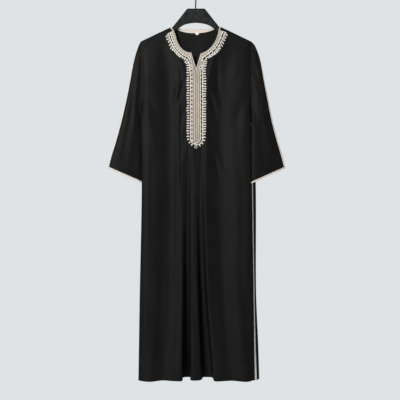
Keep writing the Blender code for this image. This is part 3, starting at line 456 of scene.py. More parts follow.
def twistedCord(name, light, dark, pitch=2.6):
    look = {"fleck": (2.2, 1.0, 3.0), "ramp": (0.05, 0.75), "relief": (0.0003, 0.7)}
    finish = Finish(name, sheenWeight=0.2, sheenRoughness=0.4, specularIorLevel=0.45)
    vector = finish.threads()
    along, angle, _ = finish.split(vector)
    turning = (along * (2 * math.pi / pitch) + angle * 2.0).sine()
    fine = finish.speckle(finish.stretched(vector, look["fleck"]), 1.0, 3.0, 0.6)
    finish.set("baseColor", finish.blend((turning * 0.3 + fine * 0.9).between(*look["ramp"]), dark, light))
    finish.set("roughness", 0.38 + 0.2 * fine)
    finish.set("normal", finish.bump(turning * 0.8 + fine * 0.4, *look["relief"]))
    return finish.material


def creamBinding(name, greyBelow=None):  # beige-grey below a drop, where one is given
    look = {
        "thread": 0.8,
        "puckers": (0.12, 0.5, 1.0),
        "ramp": (0.25, 0.6),
        "dark": (0.54, 0.465, 0.405),
        "light": (0.72, 0.635, 0.575),
        "grey": (0.50, 0.455, 0.40),
        "greyFade": 0.012,
        "relief": (0.0005, 0.6),
    }
    finish = Finish(name, sheenWeight=0.2, sheenRoughness=0.4, specularIorLevel=0.4)
    vector = finish.threads()
    across, down, _ = finish.split(vector)
    puckers = finish.speckle(finish.stretched(vector, look["puckers"]), 1.0, 3.0)
    colour = finish.blend(puckers.between(*look["ramp"]), look["dark"], look["light"])
    if greyBelow is not None:
        _, _, height = finish.split(finish.place())
        above = -(neckBelowHook + greyBelow) * mm
        colour = finish.blend(height.between(above - look["greyFade"], above), look["grey"], colour)
    finish.set("baseColor", colour)
    finish.set("roughness", 0.42 + 0.2 * puckers)
    height = puckers * 3.0 + weave(across, down, look["thread"]) * 0.3
    finish.set("normal", finish.bump(height, *look["relief"]))
    return finish.material


def whiteTape():
    look = {
        "ribs": 7.0,
        "grain": 2.0,
        "dark": (0.78, 0.77, 0.74),
        "light": (0.9, 0.9, 0.88),
        "relief": (0.0001, 0.6),
    }
    finish = Finish("whiteTape", specularIorLevel=0.4)
    vector = finish.threads()
    _, down, _ = finish.split(vector)
    ribs = (down * look["ribs"]).sine()
    grain = finish.speckle(vector, look["grain"], 2.0)
    finish.set("baseColor", finish.blend(grain, look["dark"], look["light"]))
    finish.set("roughness", 0.45 + 0.1 * grain)
    finish.set("normal", finish.bump(ribs, *look["relief"]))
    return finish.material


def flockedHanger():
    look = {
        "flock": 900.0,
        "worn": 60.0,
        "ramp": (0.5, 0.85),
        "dark": (0.008, 0.0083, 0.0086),
        "light": (0.048, 0.049, 0.05),
        "relief": (0.0004, 0.8),
    }
    finish = Finish("flockedHanger", sheenWeight=0.06, sheenRoughness=0.6, sheenTint=(0.6, 0.62, 0.65),
                    specularIorLevel=0.15)
    place = finish.place()
    flock = finish.speckle(place, look["flock"], 2.0, 0.7)
    worn = finish.speckle(place, look["worn"], 4.0)
    shade = (flock * 0.8 + worn * 0.4).between(*look["ramp"])
    finish.set("baseColor", finish.blend(shade, look["dark"], look["light"]))
    finish.set("roughness", 0.8 + 0.15 * flock)
    finish.set("normal", finish.bump(flock, *look["relief"]))
    return finish.material


def darkWire():
    look = {"drawn": (300.0, 300.0, 30.0), "dark": (0.008, 0.008, 0.009), "light": (0.02, 0.02, 0.022)}
    finish = Finish("darkWire", specularIorLevel=0.3)
    drawn = finish.speckle(finish.stretched(finish.place(), look["drawn"]), 1.0, 3.0)
    finish.set("baseColor", finish.blend(drawn, look["dark"], look["light"]))
    finish.set("roughness", 0.35 + 0.2 * drawn)
    return finish.material


finishes = {
    "cloth": blackCloth(),
    "tape": braidTape("beigeBraid", (0.76, 0.69, 0.585), (0.34, 0.29, 0.225)),
    "cord": twistedCord("creamCord", (0.98, 0.93, 0.85), (0.72, 0.655, 0.56)),
    # the side seams' braid is the sleeves' pale braid made greyer and darker: painted shade
    "seamBraidInPaintedShade": braidTape("paleBraidInPaintedShade", (0.82, 0.80, 0.76), (0.42, 0.40, 0.38), 1.2),
    "foldBraid": braidTape("paleBraid", (0.97, 0.93, 0.86), (0.72, 0.66, 0.58), 1.4),
    "binding": creamBinding("creamBinding"),
    "neckBinding": creamBinding("neckBinding", 8.0),
    "tag": whiteTape(),
    "hanger": flockedHanger(),
    "wire": darkWire(),
    "thread": twistedCord("sewingThread", (0.62, 0.56, 0.50), (0.36, 0.31, 0.27), 1.1),
}
print("finishes made:", len(finishes))


# Front and back

foldLevels = (garment["chest"], 645.0, 1037.0, garment["length"])  # chest, waist, knee and hem

neckEdge = {
    "left": ((-105.0, 3.3), (-95.5, 10.5), (-88.6, 22.0), (-75.6, 63.0), (-58.7, 89.4), (-37.0, 104.6),
             (-20.7, 107.5)),
    "right": ((100.0, 1.0), (97.2, 4.0), (94.8, 9.5), (85.7, 44.8), (68.9, 76.0), (40.9, 102.0),
              (20.7, 110.5)),
    "foot": (1.0, 178.0),
    "leftShares": (0.0, 0.012, 0.045, 0.14, 0.28, 0.42, 0.56, 0.68, 0.79, 0.9, 1.0),
    "leftNotch": (0.0, 0.5, 1.0),
    "rightNotch": (1.0, 0.67, 0.33, 0.0),
    "rightShares": (1.0, 0.84, 0.66, 0.46, 0.25, 0.05, 0.013, 0.0),
    "backShares": (0.0, 0.012, 0.05, 0.16, 0.33, 0.5, 0.67, 0.84, 0.95, 0.988, 1.0),
    "backDip": 7.3,
}

# Below the chest, (across, depth) at each drop: edges of the front, the side seams, and edges of the back
sides = {
    "drop": (229, 285, 320, 365, 645, 1037, 1250, 1390),
    "left": ((-213.0, -9.5), (-213.5, -8.5), (-216.0, -4.5), (-216.3, -7.0), (-214.0, -7.5),
             (-221.0, -12.0), (-224.0, -15.0), (-225.7, -19.0)),
    "seamLeft": ((-217.85, -7.5), (-217.85, -6.0), (-217.85, -0.15), (-213.0, -1.0), (-209.0, -0.5),
                 (-216.0, -5.0), (-219.0, -8.0), (-220.5, -12.0)),
    "right": ((213.0, -9.5), (213.5, -8.5), (216.0, -4.5), (217.5, -9.0), (221.2, -10.0),
              (226.6, -15.0), (229.0, -19.0), (231.4, -22.0)),
    "seamRight": ((217.85, -7.5), (217.85, -6.0), (217.85, -0.15), (219.0, -3.0), (224.8, -3.5),
                  (230.2, -9.5), (234.0, -14.5), (239.0, -20.0)),
}
backSides = {
    "drop": (229, 285, 320, 342, 365, 450, 645, 1037, 1250, 1390),
    "left": ((-213.0, 9.5), (-213.5, 8.5), (-216.0, 4.5), (-213.5, 3.8), (-209.5, 3.0), (-206.5, 3.5),
             (-204.0, 4.5), (-211.0, 2.0), (-214.0, 2.0), (-216.0, 0.0)),
    "right": ((213.0, 9.5), (213.5, 8.5), (216.0, 4.5), (221.0, 6.0), (225.0, 6.5), (230.0, 5.5),
              (236.5, 4.0), (236.8, -2.0), (244.0, -6.0), (247.8, -11.0)),
}

# A line that a fold follows down the cloth: across and how far it stands out at the four levels,
# columns of cloth up to the next line, and where it starts on the shoulder
Fold = namedtuple("Fold", "across out columns top")

panelRows = {"top": (0.0, 0.5, 1.3, 2.6, 4.4, 7.0, 10.5), "toChest": 22, "bodyRow": 8.5}
frontShell = {
    "side": -1,
    "meanDepth": (15.0, 17.0, 16.0, 16.0),
    "folds": (
        Fold((-194, -194, -200, -202), (3, 3, 11, 21), 2, -194),  # side front
        Fold((-168, -168, -172, -183), (2, 2, 11, 25), 2, -164),  # left lobe
        Fold((-99, -99, -103, -128), (-12, -14, -7, 10), 2, -134),  # soft band
        Fold((-70, -69, -73, -92), (-3, -4, 2, 17), 2, "neck"),  # thin ridge
        Fold((-55, -52, -54, -58), (-2, -3, 4, 19), 3, "neck"),  # lobe edge
        Fold((-43, -39, -42, -45), (0, -7, -23, -37), 2, "neck"),  # left recess, left
        Fold((-28, -28, -31, -27), (0, -8, -25, -39), 3, "neck"),  # left recess, right
        Fold((-14, -19, -19, -18), (0, 1, 6, 10), 2, "neck"),  # tongue left
        Fold((1, 2, 6, 18), (0, 0, 4, 6), 3, "neck"),  # tongue right
        Fold((17, 12, 20, 32), (0, -3, -21, -37), 2, "neck"),  # right recess, left
        Fold((32, 21, 32, 60), (0, -4, -19, -33), 3, "neck"),  # right recess, right
        Fold((46, 35, 46, 76), (4, 5, 14, 20), 2, "neck"),  # right lobe edge
        Fold((67, 60, 74, 104), (-3, -4, 6, 19), 2, "neck"),  # right bulge
        Fold((86, 84, 102, 138), (-10, -12, -2, 13), 2, 140),  # right soft band
        Fold((158, 158, 173, 202), (1, 0, 10, 25), 2, 185),  # right lobe
    ),
    "columnFactor": 4,
    "hemSag": 0.09,  # how much lower the hem is for each millimetre that a lobe stands out
}

backShell = {
    "side": 1,
    "meanDepth": (15.0, 19.0, 32.0, 44.0),
    "folds": (
        Fold((-196, -196, -200, -203), (-1, -5, -12, -16), 2, -194),  # left turn
        Fold((-150, -150, -152, -158), (0, 1, 4, 12), 2, -150),  # left flute
        Fold((-108, -108, -110, -118), (0, -3, -8, -12), 2, "neck"),  # left valley
        Fold((-68, -70, -72, -74), (0, 3, 8, 14), 2, "neck"),  # inner left flute
        Fold((-30, -28, -24, -24), (0, -3, -7, -8), 2, "neck"),  # centre left valley
        Fold((10, 14, 20, 22), (0, 2, 6, 10), 2, "neck"),  # centre flute
        Fold((50, 54, 58, 62), (0, -2, -6, -8), 2, "neck"),  # centre right valley
        Fold((96, 96, 100, 108), (0, 3, 9, 14), 2, "neck"),  # inner right flute
        Fold((140, 140, 142, 150), (0, -3, -6, -8), 2, 140),  # right valley
        Fold((190, 190, 198, 208), (-1, -4, -4, 0), 2, 185),  # right turn
    ),
    "columnFactor": 5,
    "hemSag": 0.05,
}

# Soft troughs (below 0) and ridges (above 0) pressed into the cloth:
# from across, drop to across, drop, bow of its middle, half width, height
frontCreases = (
    (-44, 208, -74, 316, -3, 7, -3.8), (-56, 200, -90, 326, -4, 9, 2.8), (-70, 120, -70, 640, 1, 6, 1.6),
    (-71, 560, -80, 1090, 1, 6, 1.8), (-64, 330, -60, 620, 0, 8, -1.8), (-38, 300, -70, 430, -2, 8, -1.8),
    (-40, 390, -66, 540, 3, 10, -1.6), (-52, 450, -84, 640, 4, 14, 1.8), (45, 236, 80, 366, 3, 7, -3.8),
    (57, 232, 96, 376, 4, 9, 2.8), (51, 408, 78, 468, 2, 6, -3.2), (56, 472, 92, 612, 4, 7, -3.8),
    (67, 452, 106, 600, 4, 9, 2.8), (36, 330, 62, 470, 3, 9, -2.0), (83, 124, 84, 262, 2, 9, -3.8),
    (100, 118, 104, 300, -2, 9, 2.4), (130, 150, 150, 420, 8, 20, -2.4),
    (-206, 250, -150, 420, 14, 13, -2.2), (-210, 300, -168, 520, 12, 12, 1.9),
    (-196, 180, -140, 260, 8, 14, -1.6), (208, 250, 160, 410, -12, 13, -2.2),
    (212, 306, 176, 540, -10, 12, 1.9), (198, 172, 146, 250, -8, 14, -1.5),
    (-150, 420, -140, 760, 6, 16, 1.8), (-176, 520, -168, 900, -5, 15, -2.0),
    (-96, 560, -104, 900, 4, 12, -1.8), (120, 470, 134, 830, -6, 16, -1.8),
    (156, 560, 166, 900, 5, 15, 2.0), (184, 600, 190, 980, -4, 12, -1.8), (-20, 500, -16, 760, 3, 8, -2.0),
    (24, 540, 26, 800, 2, 9, 1.6), (-134, 900, -146, 1300, 5, 13, -2.4),
    (-190, 980, -206, 1370, -4, 12, 2.0), (-112, 880, -122, 1250, -4, 11, 2.2),
    (-70, 900, -78, 1380, 3, 10, -2.2), (96, 900, 118, 1370, 4, 12, -2.6),
    (142, 860, 172, 1340, 6, 15, 2.2), (196, 1000, 214, 1380, -4, 10, -2.0), (0, 900, 4, 1250, 3, 7, 1.6),
    (-8, 1000, 8, 1380, -2, 6, -1.4),
)
backCreases = (
    (-200, 190, -120, 330, 16, 16, -2.4), (-206, 280, -150, 480, 14, 14, 2.2),
    (200, 185, 118, 330, -16, 16, -2.4), (206, 275, 150, 470, -14, 14, 2.2),
    (-80, 40, -96, 260, -6, 14, -1.8), (84, 36, 100, 250, 6, 14, -1.8), (-30, 50, -24, 330, 4, 18, 1.6),
    (40, 60, 30, 360, -4, 16, -1.5), (-150, 420, -140, 820, 8, 16, -2.2), (-90, 480, -84, 900, -6, 15, 2.0),
    (-10, 460, -2, 860, 5, 14, -1.8), (74, 470, 84, 880, -5, 16, 2.0), (146, 450, 152, 860, 6, 14, -2.0),
    (190, 520, 194, 900, -5, 13, 1.8), (-180, 860, -186, 1340, 5, 14, 2.4),
    (-128, 900, -138, 1370, -5, 12, -2.4), (-50, 900, -46, 1380, 4, 13, 2.2),
    (2, 940, 0, 1380, -3, 11, -2.2), (44, 900, 44, 1360, 4, 12, 2.0), (90, 930, 86, 1380, -4, 13, -2.4),
    (170, 900, 180, 1370, 5, 14, 2.2),
)


def ridgeDrop(across):
    return garment["shoulderSlope"] * (np.abs(across) - garment["ridgeLevel"])


def upperDepth(across, drop):  # round over the shoulder, then hanging
    below = np.maximum(drop - ridgeDrop(across), 0.0)
    rounding = garment["shoulderRounding"]
    near = np.sqrt(np.maximum(rounding ** 2 - (rounding - np.minimum(below, rounding)) ** 2, 0.0))
    hang = (garment["chestDepth"] - rounding) * smoothStep((below - rounding) / garment["hangingReach"])
    inset = (garment["armhole"] - np.abs(across)) / garment["pinchWidth"]
    return (near + hang) * (1.0 - (1.0 - garment["armholePinch"]) * np.exp(-inset * inset))


def columnsOf(shell):  # columns of cloth from each line to the next, from seam to seam
    return [count * shell["columnFactor"] for count in (2, 2, *(fold.columns for fold in shell["folds"]), 2)]


def sectionOf(shell, drop):  # columns of a panel at a drop below the chest, from the left seam to the right
    side = shell["side"]
    table = sides if side < 0 else backSides
    edges = [curveAt(table["drop"], table[name], drop) for name in ("left", "right")]
    seams = [curveAt(sides["drop"], sides[name], drop) for name in ("seamLeft", "seamRight")]
    if side > 0 and drop <= garment["underarm"]:
        seams = [seam * (1, -1) for seam in seams]
    mean = curveAt(foldLevels, shell["meanDepth"], drop)
    folds = [(curveAt(foldLevels, fold.across, drop), side * (mean + curveAt(foldLevels, fold.out, drop)))
             for fold in shell["folds"]]
    return through([seams[0], edges[0], *folds, edges[1], seams[1]], columnsOf(shell))


def frontNeckLine(factor):  # down the left of the neck, into the notch, out of it and up the right
    left, right, foot = neckEdge["left"], neckEdge["right"], neckEdge["foot"]
    stretches = ((left, "leftShares", 8), ((left[-1], foot), "leftNotch", 1),
                 ((right[-1], foot), "rightNotch", 1), (right, "rightShares", 8))
    lines = [atShares(points, refined(neckEdge[shares], factor), steps)
             for points, shares, steps in stretches]
    return np.vstack([line[:-1] for line in lines[:-1]] + lines[-1:])


def backNeckLine(factor):
    shares = refined(neckEdge["backShares"], factor)
    left, right = np.array(neckEdge["left"][0]), np.array(neckEdge["right"][0])
    line = left + (right - left) * shares[:, None]
    line[:, 1] += neckEdge["backDip"] * (1.0 - (2.0 * shares - 1.0) ** 2)
    return line


def topsOf(shell, neckLine):  # top of each column: shoulder ridge outside the neck, neck edge inside it
    starts = [-garment["seam"], -garment["edge"], *(fold.top for fold in shell["folds"]),
              garment["edge"], garment["seam"]]
    tops = []
    inNeck = False
    for start, end, count in zip(starts, starts[1:], columnsOf(shell)):
        if start == "neck" and not inNeck:
            tops += neckLine[:-1].tolist()
            inNeck = True
        if start == end == "neck":
            continue
        here = neckLine[-1][0] if start == "neck" else start
        there = neckLine[0][0] if end == "neck" else end
        for across in here + (there - here) * np.arange(count) / count:
            tops.append((across, ridgeDrop(across)))
    tops.append((garment["seam"], ridgeDrop(garment["seam"])))
    return np.array(tops)


def panelGrid(shell, neckLine):  # outer face of a panel, a row for each height
    side, chest = shell["side"], garment["chest"]
    tops = topsOf(shell, neckLine)
    chestLine = sectionOf(shell, chest)
    outs = np.abs(chestLine[:, 1]) - upperDepth(chestLine[:, 0], chest)
    start, count = tops[:, 1] + panelRows["top"][-1], panelRows["toChest"]
    drops = [tops[:, 1] + step for step in panelRows["top"]]
    drops += [start + (chest - start) * k / count for k in range(1, count)]
    rows = []
    for drop in drops:
        way = smoothStep((drop - tops[:, 1]) / (chest - tops[:, 1]))
        across = tops[:, 0] + (chestLine[:, 0] - tops[:, 0]) * way
        depth = np.maximum(upperDepth(across, drop), garment["seamGap"] / 2) + outs * way
        rows.append(np.stack([across, side * depth, drop], axis=-1))
    levels = [chest, garment["underarm"], garment["length"]]
    for low, high in zip(levels, levels[1:]):
        count = round((high - low) / panelRows["bodyRow"])
        for k in range(count + (high == levels[-1])):
            drop = low + (high - low) * k / count
            line = sectionOf(shell, drop)
            rows.append(np.column_stack([line, np.full(len(line), drop)]))
    return np.array(rows), tops


unevenness = {
    "waves": ((0.9, 42.0, 170.0, 0.0), (0.35, 15.0, 60.0, 5.0)),  # height, width, length, added to the seed
    "topStart": 6.0,
    "topFade": 40.0,
    "sideFade": 22.0,
    "levelDepth": 16.0,  # cloth nearer than this to the middle plane doesn't sag at the hem
    "sagFrom": 1150.0,
    "sagFade": 240.0,
}


def creasedGrid(grid, tops, shell, creases, seed):  # creases and a slight unevenness, fading out at the edges
    across, drop = grid[..., 0], grid[..., 2]
    height = np.zeros(across.shape)
    for fromAcross, fromDrop, toAcross, toDrop, bow, halfWidth, tall in creases:
        run = np.array([toAcross - fromAcross, toDrop - fromDrop], float)
        length = np.linalg.norm(run)
        run /= length
        t = ((across - fromAcross) * run[0] + (drop - fromDrop) * run[1]) / length
        aside = (across - fromAcross) * run[1] - (drop - fromDrop) * run[0]
        inside = np.clip(t, 0.0, 1.0)
        aside = aside - bow * 4.0 * inside * (1.0 - inside)
        taper = np.sin(math.pi * inside) ** garment["creaseTaper"]
        height += tall * np.exp(-(aside / halfWidth) ** 2) * taper
    for tall, wide, long, shift in unevenness["waves"]:
        for spot in np.ndindex(across.shape):
            place = Vector((across[spot] / wide, drop[spot] / long, seed + shift))
            height[spot] += tall * noise.noise(place)
    fromTop = smoothStep((drop - tops[None, :, 1] - unevenness["topStart"]) / unevenness["topFade"])
    lengths = np.abs(across - across[:, :1]), np.abs(across - across[:, -1:])
    fromSide = smoothStep(np.minimum(*lengths) / unevenness["sideFade"])
    made = grid.copy()
    made[..., 1] += shell["side"] * height * fromTop * fromSide
    sag = shell["hemSag"] * np.maximum(np.abs(grid[..., 1]) - unevenness["levelDepth"], 0.0)
    made[..., 2] += sag * smoothStep((drop - unevenness["sagFrom"]) / unevenness["sagFade"])
    return made


def clothPanel(name, shell, neckLine, creases, seed, nodes):
    grid, tops = panelGrid(shell, neckLine)
    grid = creasedGrid(grid, tops, shell, creases, seed)
    parts = Pieces()
    parts.addGrid(grid, flip=shell["side"] < 0)
    piece = parts.build(name, finishes["cloth"], nodes, thickness=garment["cloth"], mend=False)
    return piece, grid


frontCloth, frontGrid = clothPanel("frontCloth", frontShell, frontNeckLine(frontShell["columnFactor"]),
                                   frontCreases, 3.1, ["front_panel"])
backCloth, backGrid = clothPanel("backCloth", backShell, backNeckLine(backShell["columnFactor"]),
                                 backCreases, 8.7, ["back_panel"])
print("front and back hung:", frontGrid.shape, backGrid.shape)


# Sleeves

sleeve = {
    "section": ("outerDrop", "innerDrop", "belly", "fullness",
                "leftOuter", "leftInner", "leftDepth", "leftTurn",
                "rightOuter", "rightInner", "rightDepth", "rightTurn"),
    "rows": (
        (57.2, 320, 7.4, 0.8, 218.15, 218.15, 0.0, 0, 218.15, 218.15, 0.0, 0),
        (76, 326, 9.0, 0.78, 227.5, 216.8, 0.3, -15, 234.0, 216.8, -0.5, -20),
        (130, 335, 10.5, 0.76, 245.0, 215.8, 0.8, -5, 254.0, 216.4, -2.2, -15),
        (210, 352, 11.5, 0.8, 261.0, 214.8, 4.2, 12, 269.0, 217.6, -6.5, 0),
        (290, 385, 12.0, 0.9, 277.0, 211.8, 8.5, 18, 285.0, 218.2, -11.0, 15),
        (368, 435, 12.5, 1.0, 295.0, 210.0, 11.0, 18, 300.5, 217.6, -15.0, 18),
        (446, 495, 12.5, 1.0, 315.5, 209.5, 12.0, 12, 320.5, 217.2, -16.5, 18),
        (512, 560, 12.5, 1.0, 334.5, 209.5, 12.5, -10, 340.0, 217.6, -16.5, 18),
        (558.5, 619, 12.5, 1.0, 346.0, 209.5, 12.5, -15, 351.2, 218.6, -15.5, 15),
    ),
    "noseAngles": (-48.0, -16.0, 16.0, 48.0),
    "noseRadius": 4.7,
    "half": ((0.09, 0.68), (0.25, 1.0), (0.5, 1.0), (0.75, 0.85), (0.93, 0.55)),
    "tipHalfDepth": 2.7,
    "tipReach": 1.0,
    "columnFactor": 4,
    "rowStep": 0.11,
    "cuffWidth": 7.0,
    "underCuff": 0.03,  # the cloth ends this far under the cuff, in sections
    "noseShare": 0.62,  # of the belly, at most
    "seamSections": 0.5,  # the sleeve leaves the armhole seam over these sections, its tip longer and slimmer
    "foldStep": 0.05,
    "seamReach": 2.0,
    "seamSlimming": 0.2,
    "fullFrom": 0.6,
    "foldFade": 0.12,
    "topFade": 0.8,
    "waves": (0.8, 34.0, 30.0, 60.0),  # height, then length across, in depth and down
    "waveShift": 4.0,
    "braidFrom": 0.95,
    "braidGap": 0.02,
    "braidRows": 110,
    "stitches": (0.22, 1.15),  # share of the cuff's width, lift off the cloth
}

# For each sleeve: from section, place round it, to section, place round it, half width, height.
# The place runs from 0 at the outer fold to 1 at the inner fold, on the front half.
sleeveCreases = {
    "left": (
        (0.7, 0.35, 6.2, 0.68, 0.07, 3.2), (0.8, 0.75, 4.4, 0.85, 0.08, -2.6),
        (1.6, 0.16, 5.0, 0.4, 0.06, -1.8), (2.6, 0.98, 5.4, 0.78, 0.06, -2.2),
        (3.2, 0.3, 7.6, 0.34, 0.07, -2.2), (4.2, 0.5, 8.0, 0.56, 0.07, 2.0),
    ),
    "right": (
        (0.3, 0.4, 3.6, 0.28, 0.06, -2.4), (0.9, 0.72, 3.2, 0.45, 0.07, 2.2),
        (1.7, 0.9, 4.4, 0.66, 0.06, -2.2), (2.8, 0.97, 5.6, 0.8, 0.06, 2.0),
        (3.4, 0.4, 7.8, 0.3, 0.07, 2.0), (4.4, 0.62, 8.0, 0.6, 0.07, -2.0),
    ),
}


def sleeveValue(column, at):
    index = sleeve["section"].index(column)
    return curveAt(range(len(sleeve["rows"])), [row[index] for row in sleeve["rows"]], at)


def sleeveFolds(side, at):
    name = "left" if side < 0 else "right"
    outer = np.array([side * sleeveValue(name + "Outer", at), 0.0, sleeveValue("outerDrop", at)])
    inner = np.array([side * sleeveValue(name + "Inner", at), sleeveValue(name + "Depth", at),
                      sleeveValue("innerDrop", at)])
    return outer, inner


def sleeveRing(side, at):  # outline of a sleeve: outer nose, back half, tip and front half
    outer, inner = sleeveFolds(side, at)
    belly = sleeveValue("belly", at)
    fullness = sleeveValue("fullness", at)
    turn = sleeveValue("leftTurn" if side < 0 else "rightTurn", at)
    along = inner - outer
    inward = unit(along)
    early = max(1.0 - at / sleeve["seamSections"], 0.0)  # the first ring's tip lies along the side seam
    tipWay = unit(np.array([-side * (1.0 - early), 0.0, early]))
    if at > 0.0:
        fold = unit(outer - sleeveFolds(side, at - sleeve["foldStep"])[0])
        inward = unit(inward - fold * inward.dot(fold) * (1.0 - early))
    radius = min(sleeve["noseRadius"], belly * sleeve["noseShare"])
    back = np.array([0.0, 1.0, 0.0])
    points = []
    for angle in reversed(sleeve["noseAngles"]):
        turned = math.radians(angle + turn)
        aside = -inward * math.cos(turned) - back * math.sin(turned)
        points.append(outer + inward * radius + aside * radius)
    reach = sleeve["tipReach"] * (1.0 + sleeve["seamReach"] * early)
    tipDepth = sleeve["tipHalfDepth"] * (1.0 - sleeve["seamSlimming"] * early)
    halves = []
    for way in (back, -back):
        half = []
        for share, depth in sleeve["half"]:
            full = fullness if share > sleeve["fullFrom"] else 1.0
            half.append(outer + along * share + way * belly * depth * full)
        halves.append(half + [inner - tipWay * reach + way * tipDepth])
    return np.array(points + halves[0] + [inner] + halves[1][::-1])


def ringNormals(ring, outer, inner):
    inward = unit(inner - outer)
    flat = np.stack([(ring - outer) @ inward, ring[:, 1]], axis=-1)
    after = np.roll(flat, -1, axis=0)
    turnWay = np.sign(np.sum(flat[:, 0] * after[:, 1] - after[:, 0] * flat[:, 1]))
    steps = after - np.roll(flat, 1, axis=0)
    normals = np.stack([steps[:, 1], -steps[:, 0]], axis=-1) * turnWay
    normals /= np.linalg.norm(normals, axis=1)[:, None]
    return normals[:, :1] * inward + normals[:, 1:] * np.array([0.0, 1.0, 0.0])


def sleeveLine(side, at, lift=0.0):  # creased outline of a sleeve at a section, lifted off the cloth
    ring = throughClosed(sleeveRing(side, at), sleeve["columnFactor"])
    outer, inner = sleeveFolds(side, at)
    along = inner - outer
    share = (ring - outer) @ along / (along @ along)
    front = np.sign(ring[:, 1] - (outer[1] + along[1] * share))
    height = np.zeros(len(ring))
    for fromAt, fromPlace, toAt, toPlace, halfWidth, tall in sleeveCreases["left" if side < 0 else "right"]:
        t = min(max((at - fromAt) / (toAt - fromAt), 0.0), 1.0)
        middle = fromPlace + (toPlace - fromPlace) * t
        taper = max(math.sin(math.pi * t), 0.0) ** garment["creaseTaper"]
        height += tall * np.exp(-((share - middle) / halfWidth) ** 2) * taper
    tall, wide, deep, long = sleeve["waves"]
    for i, (x, y, z) in enumerate(ring):
        height[i] += tall * noise.noise(Vector((x / wide, z / long, y / deep + side * sleeve["waveShift"])))
    fade = smoothStep(np.minimum(share, 1.0 - share) / sleeve["foldFade"]) * min(at / sleeve["topFade"], 1.0)
    ring[:, 1] += front * height * fade
    return ring + ringNormals(ring, outer, inner) * lift


sleeveEnd = len(sleeve["rows"]) - 1
cuffStart = sleeveEnd - sleeve["cuffWidth"] / (sleeve["rows"][-1][1] - sleeve["rows"][-2][1])
cuffProfile = (  # share of the cuff's width, lift off the cloth
    (0.0, -0.3), (0.0, 0.5), (0.1, 0.9), (0.35, 1.05), (0.7, 1.05), (0.9, 0.85), (0.98, 0.4), (1.0, -0.4),
    (0.97, -1.5), (0.8, -2.0), (0.3, -2.1), (0.02, -1.9),
)
sleeveBraidProfile = ((0.0, 0.3), (0.0, 1.6), (0.12, 2.3), (0.3, 1.8), (0.5, 2.4), (0.7, 1.8), (0.88, 2.3),
                      (1.0, 1.6), (1.0, 0.3))


def sleeveCloth(side, name, word):
    stations = np.linspace(0.0, cuffStart + sleeve["underCuff"], round(cuffStart / sleeve["rowStep"]))
    parts = Pieces()
    parts.addGrid(np.array([sleeveLine(side, at) for at in stations]), around=True, flip=side > 0)
    return parts.build("sleeveCloth" + word, finishes["cloth"], ["sleeve_" + name],
                       thickness=garment["cloth"], mend=False)


def cuffLine(side, share, lift):  # a line round the cuff, at a share of its width
    return sleeveLine(side, cuffStart + (sleeveEnd - cuffStart) * share, lift)


def cuffBinding(side, name, word):
    rows = np.array([cuffLine(side, share, lift) for share, lift in cuffProfile])
    parts = Pieces()
    parts.addLoft(rows.transpose(1, 0, 2), closed=True)
    return parts.build("cuffBinding" + word, finishes["binding"], ["cuff_binding_" + name])


def sleeveBraid(side, name, word):  # on the nose of the outer fold
    nose = slice((len(sleeve["noseAngles"]) - 1) * sleeve["columnFactor"] + 1)
    rows = []
    for at in np.linspace(sleeve["braidFrom"], cuffStart - sleeve["braidGap"], sleeve["braidRows"]):
        ring = sleeveLine(side, at)
        lifts = ringNormals(ring, *sleeveFolds(side, at))
        rows.append(raised(ring[nose], lifts[nose], sleeveBraidProfile))
    parts = Pieces()
    parts.addLoft(rows)
    return parts.build("sleeveBraid" + word, finishes["foldBraid"],
                       ["sleeve_braid_" + name], sharp=0)


sleeves = {}
for side, name, word in ((-1, "left", "Left"), (1, "right", "Right")):
    sleeves[name] = [make(side, name, word) for make in (sleeveCloth, cuffBinding, sleeveBraid)]
print("sleeves sewn on:", len(sleeves))


# Where trims lie

class ClothFace:  # faces of cloth met when going back along the depth; the first one reaches everywhere
    ahead, near = -200.0, -12.0  # depths: in front of everything, and close to the cloth

    def __init__(self, *grids):
        self.trees = []
        for grid in grids:
            corners = [Vector(corner) for corner in spots(grid).reshape(-1, 3)]
            self.trees.append(BVHTree.FromPolygons(corners, gridFaces(*grid.shape[:2])))

    def depth(self, across, drop):
        start = Vector(spots((across, self.ahead, drop)))
        found = []
        for tree in self.trees:
            hit = tree.ray_cast(start, Vector((0.0, 1.0, 0.0)))[0]
            if hit is None and not found:
                hit = tree.find_nearest(Vector(spots((across, self.near, drop))))[0]
            if hit is not None:
                found.append(hit.y / mm)
        return min(found)

    def laid(self, line, lift=0.0):  # a line of (across, drop) laid on the face
        lifts = np.broadcast_to(np.asarray(lift, float), (len(line),))
        depths = np.array([self.depth(across, drop) for across, drop in line])
        if len(depths) > 4:
            padded = np.concatenate([depths[:1], depths, depths[-1:]])
            depths = (padded[:-2] + 2 * padded[1:-1] + padded[2:]) / 4
        return np.stack([line[:, 0], depths - lifts, line[:, 1]], axis=-1)


frontFace = ClothFace(frontGrid)
backFace = ClothFace(backGrid)


# Braid round the neck and down the placket

